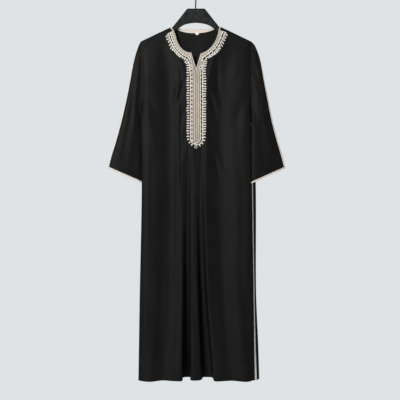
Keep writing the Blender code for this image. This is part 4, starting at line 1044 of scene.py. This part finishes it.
braid = {
    "centre": 1.4,
    "halfGap": 0.15,
    "smoothTo": 150.0,
    "curveEnd": 197.0,
    "straightDrop": 240.0,
    "roundingDrop": 443.0,
    "roundingHeight": 28.0,
    "roundingInner": 6.0,
    "steps": (10, 8),  # between the rows of the table, above and below smoothTo
    "straightRows": (14, 60),
    "roundingRows": 24,
    "placketFrom": 120.0,
    "placketFade": 75.0,
    "clearance": 0.35,
    # a row for each section of the neck's curve: inner edge and outer edge, as across and drop
    "left": {
        "edge": -27.3,
        "table": ((-91.0, 20.0, -112.0, 32.0), (-84.0, 40.0, -104.0, 53.0), (-76.6, 64.5, -94.0, 76.0),
                  (-67.5, 80.0, -83.0, 95.0), (-55.0, 94.5, -69.5, 111.0), (-38.0, 106.3, -53.0, 124.5),
                  (-21.5, 109.8, -36.0, 138.0), (-15.5, 131.0, -28.6, 156.0), (-8.4, 155.0, -27.3, 176.0),
                  (0.6, 182.0, -27.3, 197.0)),
        "tapeNeck": 0.27, "tapePlacket": 0.50,
        "grooves": (0.2, 0.75),
        # shares of the band at the neck and down the placket: cords and eyelets; drops where they end
        "outerCord": (0.88, 0.79), "innerCord": (0.54, 0.53), "edgeCord": (1.17, 1.17),
        "eyelets": (0.35, 0.6),
        "innerCordTo": 150.0, "eyeletsTo": math.inf,
        "bridgesTo": 140.0, "bridgePitch": 12.0,
        "ring": (-17.0, 165.0),
    },
    "right": {
        "edge": 30.2,
        "table": ((94.0, 18.0, 118.0, 25.5), (90.5, 33.0, 110.0, 42.0), (84.8, 52.0, 100.5, 64.0),
                  (77.0, 66.0, 90.5, 82.0), (66.0, 81.0, 76.5, 101.5), (51.0, 95.5, 62.0, 113.5),
                  (36.0, 106.0, 46.0, 125.5), (21.5, 112.8, 35.0, 138.0), (16.5, 131.0, 31.4, 156.0),
                  (10.2, 155.0, 30.2, 176.0), (1.7, 182.0, 30.2, 197.0)),
        "tapeNeck": 0.24, "tapePlacket": 0.49,
        "grooves": (0.4, 0.88),
        "outerCord": (0.91, 0.86), "innerCord": (0.48, 0.56), "edgeCord": (1.22, 1.22),
        "eyelets": (0.30, 0.30),
        "innerCordTo": math.inf, "eyeletsTo": 160.0,
        "bridgesTo": math.inf, "bridgePitch": 16.8,
        "ring": (20.0, 163.0),
    },
    "tapeHeight": 1.1,
    "tapeEdge": 0.05,
    "edgeRounding": 0.04,
    "grooveDepth": 1.8,
    "grooveWidth": 0.085,
    "grooveSway": 0.04,
    # strength of the painted shade in the grooves, round the neck and down the placket
    "groovePaintedShade": (0.3, 1.0),
    "swayPitch": 33.0,
    "columns": 32,
    "edgeCordDrops": (84.0, 121.0),
    "endCord": (0.1, 1.02),  # shares of the band's upper end
    "endCordLift": 1.2,
    "cord": 2.0,
    "slim": 0.9,  # of a cord's radius, where it is a thinner one
    "figureCord": 1.25,
    "figurePitch": 4.4,
    "finePitch": 4.0,
    "pointStep": 3.0,
    "ringRadius": 5.8,
    "ringCord": 1.6,
    "ringLift": 1.5,
}
eyelet = {
    "reach": (3.2, 4.7),  # at the neck and down the placket
    "pitch": (10.5, 16.6),
    "step": 0.8,
    "width": 0.22,  # in pitches
    "crossing": 0.86,  # of the cord's radius: how far each cord stays from the middle
    "knot": ((-3.0, 0.2), (-2.0, 1.7), (0.0, 2.4), (2.0, 1.7), (3.0, 0.2)),  # place across, lift
}
bridge = {
    "share": 0.71,  # place and half width as shares of the band's width
    "halfWidth": 0.09,
    "slant": 1.6,
    "start": 9.0,
    "endGap": 26.0,
    "lift": 0.4,
    "cord": 1.2,
}
eye = {"centre": (-0.6, 475.5), "radii": (5.0, 4.6), "lift": 1.8, "cord": 1.2}
loops = {
    "start": 4.0,
    "pitchDrops": (60.0, 110.0, 400.0, 440.0),
    "pitches": (11.6, 9.9, 9.9, 12.2),
    "reach": 5.0,
    "length": 8.4,
    "width": 2.5,
    "tipWidth": 3.0,
    "cord": 1.42,
    "twist": 4.2,
    "seedStep": 0.37,
    "neckDrop": 92.0,
    "neckLength": 13.5,
    "neckShortest": 0.75,
    "neckTilt": 24.0,
    "neckWidths": (4.2, 1.4),  # at the foot and near the tip
    "plainLength": 3.0,
    "lastLength": 4.6,
    "endGap": 13.0,
    # where a loop starts, drops between which loops are short, drops over which they get shorter
    "left": {"foot": -1.4, "plain": (92.0, 131.0), "taper": (440.0, 458.0)},
    "right": {"foot": -2.6, "plain": (112.0, 131.0), "taper": (415.0, 448.0)},
    "belly": (0.45, 1.05),  # place as a share of the length, width as a share of the foot's
    "shoulder": 1.3,  # place before the tip, as a share of the tip's half width
    "crown": (0.35, 0.8),  # place before the tip and width, as shares of the same
    "tiltSpread": 4.0,
    "unevenness": 0.07,
    "seed": 11,
}


def bandEdges(half):  # inner and outer edge of one half, from the shoulder to the placket's foot
    rows = np.array(half["table"])
    steps = [braid["steps"][0 if row[3] < braid["smoothTo"] else 1] for row in half["table"][:-1]]
    inner, outer = through(rows[:, :2], steps), through(rows[:, 2:], steps)
    middle = braid["centre"] + math.copysign(braid["halfGap"], half["edge"] - braid["centre"])
    levels = (braid["curveEnd"], braid["straightDrop"], braid["roundingDrop"])
    for count, start, end in zip(braid["straightRows"], levels, levels[1:]):
        innerStraight = np.linspace(inner[-1], (middle, end), count + 1)[1:]
        outerStraight = np.linspace((half["edge"], start), (half["edge"], end), count + 1)[1:]
        inner, outer = np.vstack([inner, innerStraight]), np.vstack([outer, outerStraight])
    turned = np.radians(np.linspace(0.0, 90.0, braid["roundingRows"] + 1)[1:])
    low = braid["roundingDrop"]
    foot = np.column_stack([middle + (half["edge"] - middle) * np.cos(turned),
                            low + braid["roundingHeight"] * np.sin(turned)])
    innerFoot = np.column_stack([np.full(len(turned), middle),
                                 low + braid["roundingInner"] * turned / (math.pi / 2)])
    return np.vstack([inner, innerFoot]), np.vstack([outer, foot])


def placketShare(outer):  # 0 round the neck, 1 down the placket
    return smoothStep((outer[:, 1] - braid["placketFrom"]) / braid["placketFade"])


def evenly(line):  # the same line with points at even lengths
    lengths = lengthsOf(line)
    return alongPath(line, np.linspace(0.0, lengths[-1], max(round(lengths[-1] / braid["pointStep"]), 2) + 1))


def bandLine(inner, outer, share):  # a line between the edges of the band
    share = np.broadcast_to(np.asarray(share, float), (len(inner),))[:, None]
    return inner + (outer - inner) * share


def eyeletCords(inner, outer, shares, placket):  # two cords that part round each eyelet, and their crossings
    line = bandLine(inner, outer, between(shares, placket))
    lengths = lengthsOf(line)
    fine = np.linspace(0.0, lengths[-1], round(lengths[-1] / eyelet["step"]))
    middle = alongPath(line, fine)
    reach = np.interp(fine, lengths, between(eyelet["reach"], placket))
    pitches = np.interp(fine[1:], lengths, between(eyelet["pitch"], placket))
    turns = np.concatenate([[0.0], np.cumsum(np.diff(fine) / pitches)])
    away = (turns + 0.5) % 1.0 - 0.5  # from the middle of the nearest eyelet, in pitches
    closed = braid["figureCord"] * eyelet["crossing"]
    spread = closed + (reach - closed) * np.exp(-(away / eyelet["width"]) ** 2)
    steps = np.gradient(middle, axis=0)
    aside = np.stack([-steps[:, 1], steps[:, 0]], axis=-1)
    aside /= np.linalg.norm(aside, axis=1)[:, None]
    begun = (turns + 0.5).astype(int)
    crossings = [(middle[i], aside[i]) for i in range(1, len(turns)) if begun[i] > begun[i - 1]]
    return [middle + aside * (spread * way)[:, None] for way in (1.0, -1.0)], crossings


def sewTape(name, word):  # ribbed tape along the opening; gives its upper face and the piece
    half = braid[name]
    inner, outer = bandLines[name]
    placket = placketShare(outer)
    widths = between((half["tapeNeck"], half["tapePlacket"]), placket)
    shares = np.linspace(0.0, 1.0, braid["columns"] + 1)
    run = lengthsOf(outer)
    edges = np.minimum(np.minimum(shares, 1.0 - shares) / braid["edgeRounding"], 1.0) ** 0.5
    over, under, grooves = [], [], []
    for i in range(len(inner)):
        line = inner[i] + (outer[i] - inner[i]) * (shares * widths[i])[:, None]
        low = frontFace.laid(line, braid["clearance"])
        sway = braid["grooveSway"] * math.sin(2 * math.pi * run[i] / braid["swayPitch"])
        sunk = sum(np.exp(-((shares - groove - sway) / braid["grooveWidth"]) ** 2)
                   for groove in half["grooves"])
        height = braid["tapeHeight"] + braid["grooveDepth"] * (1.0 - sunk * placket[i])
        high = low.copy()
        high[:, 1] -= height * edges + braid["tapeEdge"]
        over.append(high)
        under.append(low[::-8])
        # painted shade for the grooves, handed to the tape's colour through the threads
        shade = sunk * between(braid["groovePaintedShade"], placket[i])
        grooves.append(np.concatenate([shade, np.zeros(len(under[-1]))]))
    parts = Pieces()
    parts.addLoft(np.concatenate([over, under], axis=1), seed=np.array(grooves))
    piece = parts.build("braidTape" + word, finishes["tape"], ["braid_band_" + name], sharp=75)
    return np.array(over), piece


def addEyelets(parts, half, inner, outer, placket):
    radius = braid["figureCord"]
    lift = radius + braid["clearance"]
    lines, crossings = eyeletCords(inner, outer, half["eyelets"], placket)
    for line in lines:
        parts.addCord(frontFace.laid(line, lift), radius, braid["figurePitch"])
    across, lifts = np.array(eyelet["knot"]).T
    for middle, aside in crossings:
        knot = frontFace.laid(middle + aside * across[:, None], lift + lifts)
        parts.addCord(knot, radius * braid["slim"], braid["finePitch"])


def addBridges(parts, half, inner, outer):  # short slanting cords between the two plain ones
    lift = braid["cord"] + braid["clearance"] + bridge["lift"]
    along = lengthsOf(bandLine(inner, outer, bridge["share"]))
    end = along[-1] - bridge["endGap"]
    if half["bridgesTo"] < math.inf:
        end = along[np.argmax(outer[:, 1] > half["bridgesTo"])]
    for place in np.arange(bridge["start"], end, half["bridgePitch"]):
        row = int(np.argmin(np.abs(along - place)))
        ends = [between((inner[row], outer[row]), bridge["share"] + bridge["halfWidth"] * way)
                + np.array([0.0, bridge["slant"] * way]) for way in (-1.0, 0.0, 1.0)]
        parts.addCord(frontFace.laid(through(ends, [4, 4]), lift), bridge["cord"], braid["finePitch"])


def sewCords(name, word):
    half = braid[name]
    inner, outer = bandLines[name]
    drops, placket = outer[:, 1], placketShare(outer)
    cord, slim = braid["cord"], braid["cord"] * braid["slim"]
    low, high = braid["edgeCordDrops"]
    parts = Pieces()
    for kept, shares, radius in ((drops < math.inf, half["outerCord"], cord),
                                 (drops < half["innerCordTo"], half["innerCord"], slim),
                                 ((drops > low) & (drops < high), half["edgeCord"], slim)):
        line = bandLine(inner[kept], outer[kept], between(shares, placket[kept]))
        parts.addCord(frontFace.laid(evenly(line), cord + braid["clearance"]), radius)
    kept = drops < half["eyeletsTo"]
    addEyelets(parts, half, inner[kept], outer[kept], placket[kept])
    addBridges(parts, half, inner, outer)
    endLine = between((inner[0], outer[0]), np.linspace(*braid["endCord"], 9)[:, None])
    parts.addCord(bandFace.laid(endLine, slim + braid["endCordLift"]), slim)
    return parts.build("braidCords" + word, finishes["cord"], sharp=0)


def loopPlaces(outer):  # lengths along the outer edge where loops are sewn
    total = lengthsOf(outer)[-1]
    places = [loops["start"]]
    while places[-1] < total:
        drop = alongPath(outer, [places[-1]])[0][1]
        places.append(places[-1] + np.interp(drop, loops["pitchDrops"], loops["pitches"]))
    return [place for place in places if place <= total - loops["endGap"]]


def loopShape(length, foot, tip, start):  # points of a loop: out from the edge, and aside
    half = [(start, foot), (length * loops["belly"][0], foot * loops["belly"][1]),
            (length - tip * loops["shoulder"], tip),
            (length - tip * loops["crown"][0], tip * loops["crown"][1])]
    return [(out, -wide) for out, wide in half] + [(length, 0.0)] + half[::-1]


def loopSize(own, drop, chance):  # length, tilt and half widths of a loop
    tilt = chance.normal() * loops["tiltSpread"]
    foot, tip = loops["width"] / 2, loops["tipWidth"] / 2
    if drop < loops["neckDrop"]:
        length = loops["neckLength"] * between((loops["neckShortest"], 1.0), chance.rand())
        tilt += loops["neckTilt"]
        foot, tip = (width / 2 for width in loops["neckWidths"])
    elif own["plain"][0] < drop < own["plain"][1]:
        length = loops["plainLength"]
    else:
        length = np.interp(drop, own["taper"], (loops["length"], loops["lastLength"]))
    return length * (1.0 + loops["unevenness"] * chance.normal()), math.radians(tilt), foot, tip


def sewLoops(name, word):
    own = loops[name]
    inner, outer = bandLines[name]
    total = lengthsOf(outer)[-1]
    chance = np.random.RandomState(loops["seed"] + len(name))
    places = loopPlaces(outer)
    parts = Pieces()
    for k, (place, pair) in enumerate(zip(places, alongPath(np.hstack([outer, inner]), places, outer))):
        spot, inside = pair[:2], pair[2:]
        nearby = [max(place - loops["reach"], 0.0), min(place + loops["reach"], total)]
        before, after = alongPath(outer, nearby)
        along = unit(after - before)
        away = np.array([-along[1], along[0]])
        if away @ (spot - inside) < 0:
            away = -away
        length, tilt, foot, tip = loopSize(own, spot[1], chance)
        turned = tilt * np.sign(away[1] * along[0] - away[0] * along[1])
        away = np.array([away[0] * math.cos(turned) + away[1] * math.sin(turned),
                         away[1] * math.cos(turned) - away[0] * math.sin(turned)])
        aside = np.array([-away[1], away[0]])
        line = [spot + away * out + aside * wide for out, wide in loopShape(length, foot, tip, own["foot"])]
        path = frontFace.laid(through(line, [2] * 8), loops["cord"] + braid["clearance"])
        parts.addCord(path, loops["cord"], loops["twist"], sides=5, seed=k * loops["seedStep"])
    return parts.build("loops" + word, finishes["cord"], ["loop_edging_" + name], sharp=0)


def sewRing(name, word):
    ring = oval(braid[name]["ring"], (braid["ringRadius"], braid["ringRadius"]))
    depth = min(bandFace.depth(across, drop) for across, drop in ring) - braid["cord"] * braid["ringLift"]
    parts = Pieces()
    parts.addCord(np.insert(ring, 1, depth, axis=1), braid["ringCord"], braid["finePitch"], closed=True)
    if name == "left":  # and a small eye at the placket's foot
        path = frontFace.laid(oval(eye["centre"], eye["radii"]), eye["lift"])
        parts.addCord(path, eye["cord"], braid["finePitch"], closed=True)
    return parts.build("ring" + word, finishes["cord"], ["cord_ring_" + name], sharp=0)


halves = (("left", "Left"), ("right", "Right"))
bandLines = {name: bandEdges(braid[name]) for name, word in halves}
tapes = [sewTape(name, word) for name, word in halves]
bandFace = ClothFace(frontGrid, *(face for face, piece in tapes))
bandPieces = [piece for face, piece in tapes]
for name, word in halves:
    bandPieces += [sew(name, word) for sew in (sewCords, sewLoops, sewRing)]
print("braid, cords and loops sewn on:", len(bandPieces))


# Bindings, facing and tag

neckTrim = {
    # from the neck's edge: reach into the opening, rise over the cloth
    "profile": ((-1.3, 0.35), (-1.1, 1.0), (0.2, 1.5), (1.3, 1.75), (2.4, 1.6), (3.1, 1.0), (3.4, 0.0),
                (3.3, -1.0), (2.8, -1.8), (1.6, -2.1), (0.3, -2.1), (-1.0, -2.1), (-1.3, -1.7)),
    "fineness": 6,
    "middle": (0.0, 0.0, -40.0),
    "sharpest": 0.12,
    "ridgeZone": 0.3,  # cloth this near to the shoulder's ridge faces up
    "normalStep": 0.2,
}
facing = {
    "halfWidth": 75.0,
    "width": (1.2, 12.3),  # at the ends and in the middle
    "roundness": 2.6,
    "belowEdge": 0.6,
    "clearance": 0.6,
    "thickness": 0.9,
    "grid": (61, 11),
    "groove": (0.5, 0.3, 0.07),  # depth, place and half width as shares of the facing's width
    "bulge": (0.4, 0.15, 0.85),  # height as a share of the thickness, start and end of the arc in half turns
    "wall": 0.9,
}
tag = {
    "left": -1.5, "right": 10.5, "top": 20.6, "bottom": 28.4,
    "standoff": 2.2,
    "folded": (0.0, 0.35, 0.5, 0.45, 0.0, -0.45, -0.55, -0.4, -0.05),  # depth of the looped tape, down and up
    "bends": (2.0, 1.2),  # from the top and the bottom to where the tape turns
    "bow": 0.5,
    "columns": 17,
    "thickness": 0.5,
}


def ridgeNormal(across):
    return unit(np.array([garment["shoulderSlope"] * math.copysign(1.0, across), 0.0, -1.0]))


def upperNormal(across, drop, side):
    if drop - ridgeDrop(across) < neckTrim["ridgeZone"]:
        return ridgeNormal(across)
    step = neckTrim["normalStep"]
    sideways = (upperDepth(across + step, drop) - upperDepth(across - step, drop)) / (2 * step)
    downward = (upperDepth(across, drop + step) - upperDepth(across, drop - step)) / (2 * step)
    return unit(np.array([-sideways, side, -downward]))


def neckRings(profile):  # sections of the binding round the neck, split where the edge turns sharply
    front, back = frontNeckLine(1), backNeckLine(1)[-2:0:-1]
    edge, lifts = [], []
    for line, side in ((front, -1), (back, 1)):
        for across, drop in line:
            depth = side * max(float(upperDepth(across, drop)), garment["seamGap"] / 2)
            edge.append(np.array([across, depth, drop]))
            lifts.append(upperNormal(across, drop, side))
    for spot in (0, len(front) - 1):
        edge[spot][1] = 0.0
        lifts[spot] = ridgeNormal(edge[spot][0])
    rings = []
    count = len(edge)
    for k in range(count):
        before, after = edge[k] - edge[k - 1], edge[(k + 1) % count] - edge[k]
        way = unit(np.cross(unit(before), lifts[k])) + unit(np.cross(unit(after), lifts[k]))
        way = way * (2.0 / max(way @ way, neckTrim["sharpest"]))
        if way @ (np.array(neckTrim["middle"]) - edge[k]) < 0:
            way = -way
        rings.append([edge[k] + way * reach + lifts[k] * rise for reach, rise in profile])
    rings = np.array(rings)
    leftCorner = len(neckEdge["leftShares"]) - 1
    foot = leftCorner + len(neckEdge["leftNotch"]) - 1
    rightCorner = foot + len(neckEdge["rightNotch"]) - 1
    turns = (0, leftCorner, foot, rightCorner, len(front) - 1, count)
    rings = np.vstack([rings, rings[:1]])
    fine = []
    for start, end in zip(turns, turns[1:]):
        columns = [through(rings[start:end + 1, i], [neckTrim["fineness"]] * (end - start))
                   for i in range(rings.shape[1])]
        fine.append(np.stack(columns, axis=1)[:-1])
    return np.vstack(fine)


parts = Pieces()
parts.addLoft(neckRings(neckTrim["profile"]), closed=True)
neckBinding = parts.build("neckBinding", finishes["neckBinding"], ["neck_binding"])


def facingGrid():  # band inside the back of the neck, a column for each place across
    backLine = backNeckLine(6)
    columns, rows = facing["grid"]
    deep, at, halfWidth = facing["groove"]
    bulge, start, end = facing["bulge"]
    grid = []
    for across in np.linspace(-facing["halfWidth"], facing["halfWidth"], columns):
        width = between(facing["width"], 1.0 - abs(across / facing["halfWidth"]) ** facing["roundness"])
        top = float(np.interp(across, backLine[:, 0], backLine[:, 1])) + facing["belowEdge"]
        column = []
        for share in np.linspace(0.0, 1.0, rows):
            drop = top + width * share
            groove = deep * math.exp(-((share - at) / halfWidth) ** 2)
            arc = bulge * math.sin(math.pi * between((start, end), share))
            depth = backFace.depth(across, drop) - garment["cloth"] - facing["clearance"]
            column.append((across, depth + groove - facing["thickness"] * (1.0 + arc), drop))
        grid.append(column)
    return np.array(grid)


facingFace = facingGrid()
parts = Pieces()
parts.addGrid(facingFace)
neckFacing = parts.build("neckFacing", finishes["binding"], ["neck_facing"],
                         thickness=-facing["thickness"] * facing["wall"])


def tagGrid():  # looped tape, a little bowed
    top, bottom, middle = tag["top"], tag["bottom"], (tag["top"] + tag["bottom"]) / 2
    down = [top, top + tag["bends"][0], middle, bottom - tag["bends"][1]]
    side = through(np.column_stack([tag["folded"], down + [bottom] + down[::-1]]), [4] * 8)
    depth = backFace.depth(0.0, bottom) - garment["cloth"] - tag["standoff"]
    grid = []
    for share in np.linspace(0.0, 1.0, tag["columns"]):
        across = between((tag["left"], tag["right"]), share)
        bowed = depth - tag["bow"] * math.sin(math.pi * share)
        grid.append([(across, bowed + out, drop) for out, drop in side])
    return np.array(grid)


parts = Pieces()
parts.addGrid(tagGrid())
neckTag = parts.build("neckTag", finishes["tag"], ["neck_tag"], thickness=tag["thickness"])
print("neck bound, faced and tagged")


# Flat braid down the side seams

sideBraid = {
    "fromDrop": 375.0,
    "profile": ((0.0, 0.3), (0.0, 0.8), (0.1, 1.1), (0.3, 0.9), (0.5, 1.2), (0.7, 0.9), (0.9, 1.1),
                (1.0, 0.8), (1.0, 0.3)),
}


def sideBraidPiece(name, word):  # on the last columns of the front, beside the side seam
    columns = 2 * frontShell["columnFactor"] + 1
    part = frontGrid[:, :columns] if name == "left" else frontGrid[:, -columns:]
    strip = part[part[:, 0, 2] >= sideBraid["fromDrop"]]
    lifts = np.cross(np.gradient(strip, axis=1), np.gradient(strip, axis=0))
    lifts /= np.linalg.norm(lifts, axis=2)[..., None]
    lifts *= -np.sign(lifts[..., 1:2].mean())
    parts = Pieces()
    parts.addLoft([raised(line, lift, sideBraid["profile"]) for line, lift in zip(strip, lifts)])
    # its finish is the pale braid darkened and greyed, painted shade on the side seams
    return parts.build("sideBraid" + word, finishes["seamBraidInPaintedShade"],
                       ["side_braid_" + name], sharp=0)


sideBraids = [sideBraidPiece(name, word) for name, word in halves]


# Stitches

stitch = {
    "pitch": 3.4,
    "length": 2.4,
    "shape": ((0.0, 0.07), (0.2, 0.252), (0.5, 0.28), (0.8, 0.252), (1.0, 0.07)),  # place, radius
    "facingRows": (3, 10),
    "endColumns": 3,
    "lift": 0.2,
}


def addStitches(parts, path):
    shares, radii = np.array(stitch["shape"]).T
    for place in np.arange(stitch["pitch"], lengthsOf(path)[-1] - stitch["pitch"], stitch["pitch"]):
        parts.addTube(alongPath(path, place + shares * stitch["length"]), radii, sides=5, seed=place)


parts = Pieces()
for side in (-1, 1):
    line = cuffLine(side, *sleeve["stitches"])
    addStitches(parts, np.vstack([line, line[:1]]))
for row in stitch["facingRows"]:
    line = facingFace[stitch["endColumns"]:-stitch["endColumns"], row] - (0.0, stitch["lift"], 0.0)
    addStitches(parts, line)
stitches = parts.build("stitches", finishes["thread"], sharp=0)
print("side seams trimmed and stitched")


# Hanger and its hook

hanger = {
    "top": ((0.0, -72.4), (31.0, -72.4), (34.5, -71.7), (37.0, -69.5), (64.5, -34.0), (93.3, 1.5),
            (199.0, 51.9), (203.0, 56.5)),
    "bottom": ((0.0, -17.3), (28.0, -14.2), (52.0, -6.5), (75.0, 10.0), (95.0, 24.0), (130.0, 42.0),
               (198.0, 70.5), (203.0, 66.0)),
    "halfThickness": 6.5,
    "rounding": 4.2,
    "crown": 0.5,
    "crownTall": 20.0,  # where the body is less than twice this tall, its crown is flatter
    "roundingLimits": (0.9, 0.8),  # shares of half the height and half the thickness
    "archSteps": 10,
    "endLength": 5.0,
    "endThinnest": 0.2,
    "columns": 90,
    "endColumns": (0.2, 8.0, 9),  # nearest and furthest from the end, number
    "cornerSteps": 5,
}
hook = {
    "wire": 2.6,
    "bend": 20.0,
    "neckBend": 8.0,
    "foot": -72.7,
    "lean": 1.7,  # the shank stands a little left of the middle
    "straighten": (12.0, 9.0),  # below the shank's top: still upright, and coming to the middle from there
    "leanShares": (1.0, 0.75, 0.45, 0.2, 0.0),
    "wrap": 200.0,
    "steps": (10, 47),
    "tip": ((0.9, 1.55), (1.5, 0.5)),  # distance past the end, radius
}


def hangerSize(across):  # top, bottom, and how slim the rounded end is
    reach = hanger["top"][-1][0]
    tops, bottoms = np.array(hanger["top"]), np.array(hanger["bottom"])
    bottoms = np.vstack([through(bottoms[:-2], [hanger["archSteps"]] * (len(bottoms) - 3)), bottoms[-2:]])
    end = max((abs(across) - (reach - hanger["endLength"])) / hanger["endLength"], 0.0)
    slim = math.sqrt(max(1.0 - end * end, hanger["endThinnest"] ** 2))
    return *(np.interp(abs(across), line[:, 0], line[:, 1]) for line in (tops, bottoms)), slim


def hangerRing(across):
    top, bottom, slim = hangerSize(across)
    tall, thick, middle = (bottom - top) / 2, hanger["halfThickness"] * slim, (top + bottom) / 2
    limits = hanger["roundingLimits"]
    rounding = min(hanger["rounding"], tall * limits[0], thick * limits[1])
    crown = thick + hanger["crown"] * slim * min(tall / hanger["crownTall"], 1.0)
    steps = hanger["cornerSteps"]
    ring = []
    for quarter, (way, side) in enumerate(((-1, -1), (-1, 1), (1, 1), (1, -1))):
        for k in range(steps + 1):
            angle = math.radians(90.0 / steps * (k if quarter % 2 else steps - k))
            ring.append((across, side * (thick - rounding + rounding * math.cos(angle)),
                         middle + way * (tall - rounding + rounding * math.sin(angle))))
        if quarter % 2:
            ring.append((across, side * crown, middle))
    return ring


def hangerRings():
    corners = np.array(hanger["top"])[:, 0]
    ends = corners[-1] - np.geomspace(*hanger["endColumns"])
    half = np.unique(np.concatenate([np.linspace(0.0, corners[-1], hanger["columns"]), corners, ends]))
    return [hangerRing(across) for across in np.concatenate([-half[:0:-1], half])]


def hookPath():
    bend, neckBend, lean = hook["bend"], hook["neckBend"], hook["lean"]
    swing = math.acos(neckBend / (neckBend + bend))
    centre = -neckBelowHook + bend - hook["wire"]
    shankTop = centre + (neckBend + bend) * math.sin(swing)
    straight, curved = hook["straighten"]
    points = [(-lean, hook["foot"]), (-lean, shankTop + straight)]
    points += [(-lean * share, shankTop + curved * share) for share in hook["leanShares"]]
    for angle in np.linspace(0.0, swing, hook["steps"][0] + 1)[1:]:
        points.append((neckBend * (1 - math.cos(angle)), shankTop - neckBend * math.sin(angle)))
    for angle in np.linspace(-swing, math.radians(hook["wrap"]), hook["steps"][1] + 1)[1:]:
        points.append((bend * math.cos(angle), centre - bend * math.sin(angle)))
    return np.insert(np.array(points), 1, 0.0, axis=1)


parts = Pieces()
parts.addLoft(hangerRings())
parts.build("hangerBody", finishes["hanger"], ["hanger_body"], sharp=50)
parts = Pieces()
wire = hookPath()
onward = unit(wire[-1] - wire[-2])
radii = [hook["wire"]] * len(wire) + [radius for past, radius in hook["tip"]]
end = [wire[-1] + onward * past for past, radius in hook["tip"]]
parts.addTube(np.vstack([wire] + end), np.array(radii), sides=16)
parts.build("hangerHook", finishes["wire"], ["hanger_hook"], sharp=0)
print("hanger and hook in place")


# Cloth that was cut flat: width, length and area of each cut

cuts = (
    (frontCloth, (0.70, 1.405), 0.69, bandPieces + sideBraids + [neckBinding, stitches]),
    (backCloth, (0.60, 1.40), 0.676, [neckFacing, neckTag]),
    (sleeves["left"][0], (0.30, 0.55), 0.085, sleeves["left"][1:]),
    (sleeves["right"][0], (0.30, 0.55), 0.086, sleeves["right"][1:]),
)
print("cloth declared:", len(cuts))


# The studio

studio = {
    "camera": (0.0158, -2.6, -0.8359),
    "lens": 59.166,
    "sensor": 36.0,
    "floorDrop": 260.0,  # below the hem
    "floor": ((-1.3, -1.5), (1.3, -1.5), (1.3, 0.4), (-1.3, 0.4)),
    "wall": (0.735, 0.765, 0.785),
    "roomLight": 0.17,
    # name, place, size and power
    "lights": (
        ("key", (-1.7, -2.8, 0.5), 1.0, 107.0),
        ("fill", (2.4, -1.8, -0.2), 1.6, 14.0),
        ("low", (-1.4, -2.8, -1.5), 1.4, 15.0),
        ("back", (-1.2, 2.6, 0.2), 1.6, 60.0),
    ),
    "aim": (0.0, 0.0, -0.75),
}


def paleFloor():
    look = {"grain": 40.0, "light": (0.74, 0.745, 0.75), "darker": 0.97}
    finish = Finish("paleFloor")
    grain = finish.speckle(finish.place(), look["grain"], 3.0)
    dark = tuple(value * look["darker"] for value in look["light"])
    finish.set("baseColor", finish.blend(grain, dark, look["light"]))
    finish.set("roughness", 0.6 + 0.05 * grain)
    return finish.material


def addFloor():
    height = -(neckBelowHook + garment["length"] + studio["floorDrop"]) * mm
    data = bpy.data.meshes.new("studioFloor")
    data.from_pydata([(*corner, height) for corner in studio["floor"]], [], [[0, 1, 2, 3]])
    data.materials.append(paleFloor())
    linked("studioFloor", data)


def addRoom():  # the camera sees a pale wall; the room itself lights less than that
    world = bpy.data.worlds.new("paleRoom")
    world.use_nodes = True
    tree = world.node_tree
    wall = tree.nodes["Background"]
    wall.inputs["Color"].default_value = (*studio["wall"], 1.0)
    wall.inputs["Strength"].default_value = 1.0
    nodes = Nodes(tree)
    lighting = nodes.node("ShaderNodeBackground", {},
                          {"Color": studio["wall"], "Strength": studio["roomLight"]})
    seen = nodes.node("ShaderNodeLightPath", out="Is Camera Ray")
    mixed = nodes.node("ShaderNodeMixShader", {}, {0: seen, 1: lighting, 2: Signal(nodes, wall.outputs[0])})
    tree.links.new(mixed.output, tree.nodes["World Output"].inputs["Surface"])
    bpy.context.scene.world = world
    bpy.context.scene.view_settings.view_transform = "Standard"


def addLights():
    for name, place, size, power in studio["lights"]:
        lamp = bpy.data.lights.new(name, "AREA")
        lamp.shape = "DISK"
        lamp.size = size
        lamp.energy = power
        light = linked(name, lamp)
        light.location = place
        light.rotation_euler = (Vector(studio["aim"]) - Vector(place)).to_track_quat("-Z", "Y").to_euler()


def addCamera():
    lens = bpy.data.cameras.new("photoView")
    lens.lens = studio["lens"]
    lens.sensor_width = studio["sensor"]
    camera = linked("photoView", lens)
    camera.location = studio["camera"]
    camera.rotation_euler = (math.radians(90), 0.0, 0.0)
    bpy.context.scene.camera = camera


addFloor()
addRoom()
addLights()
addCamera()
print("studio lit")
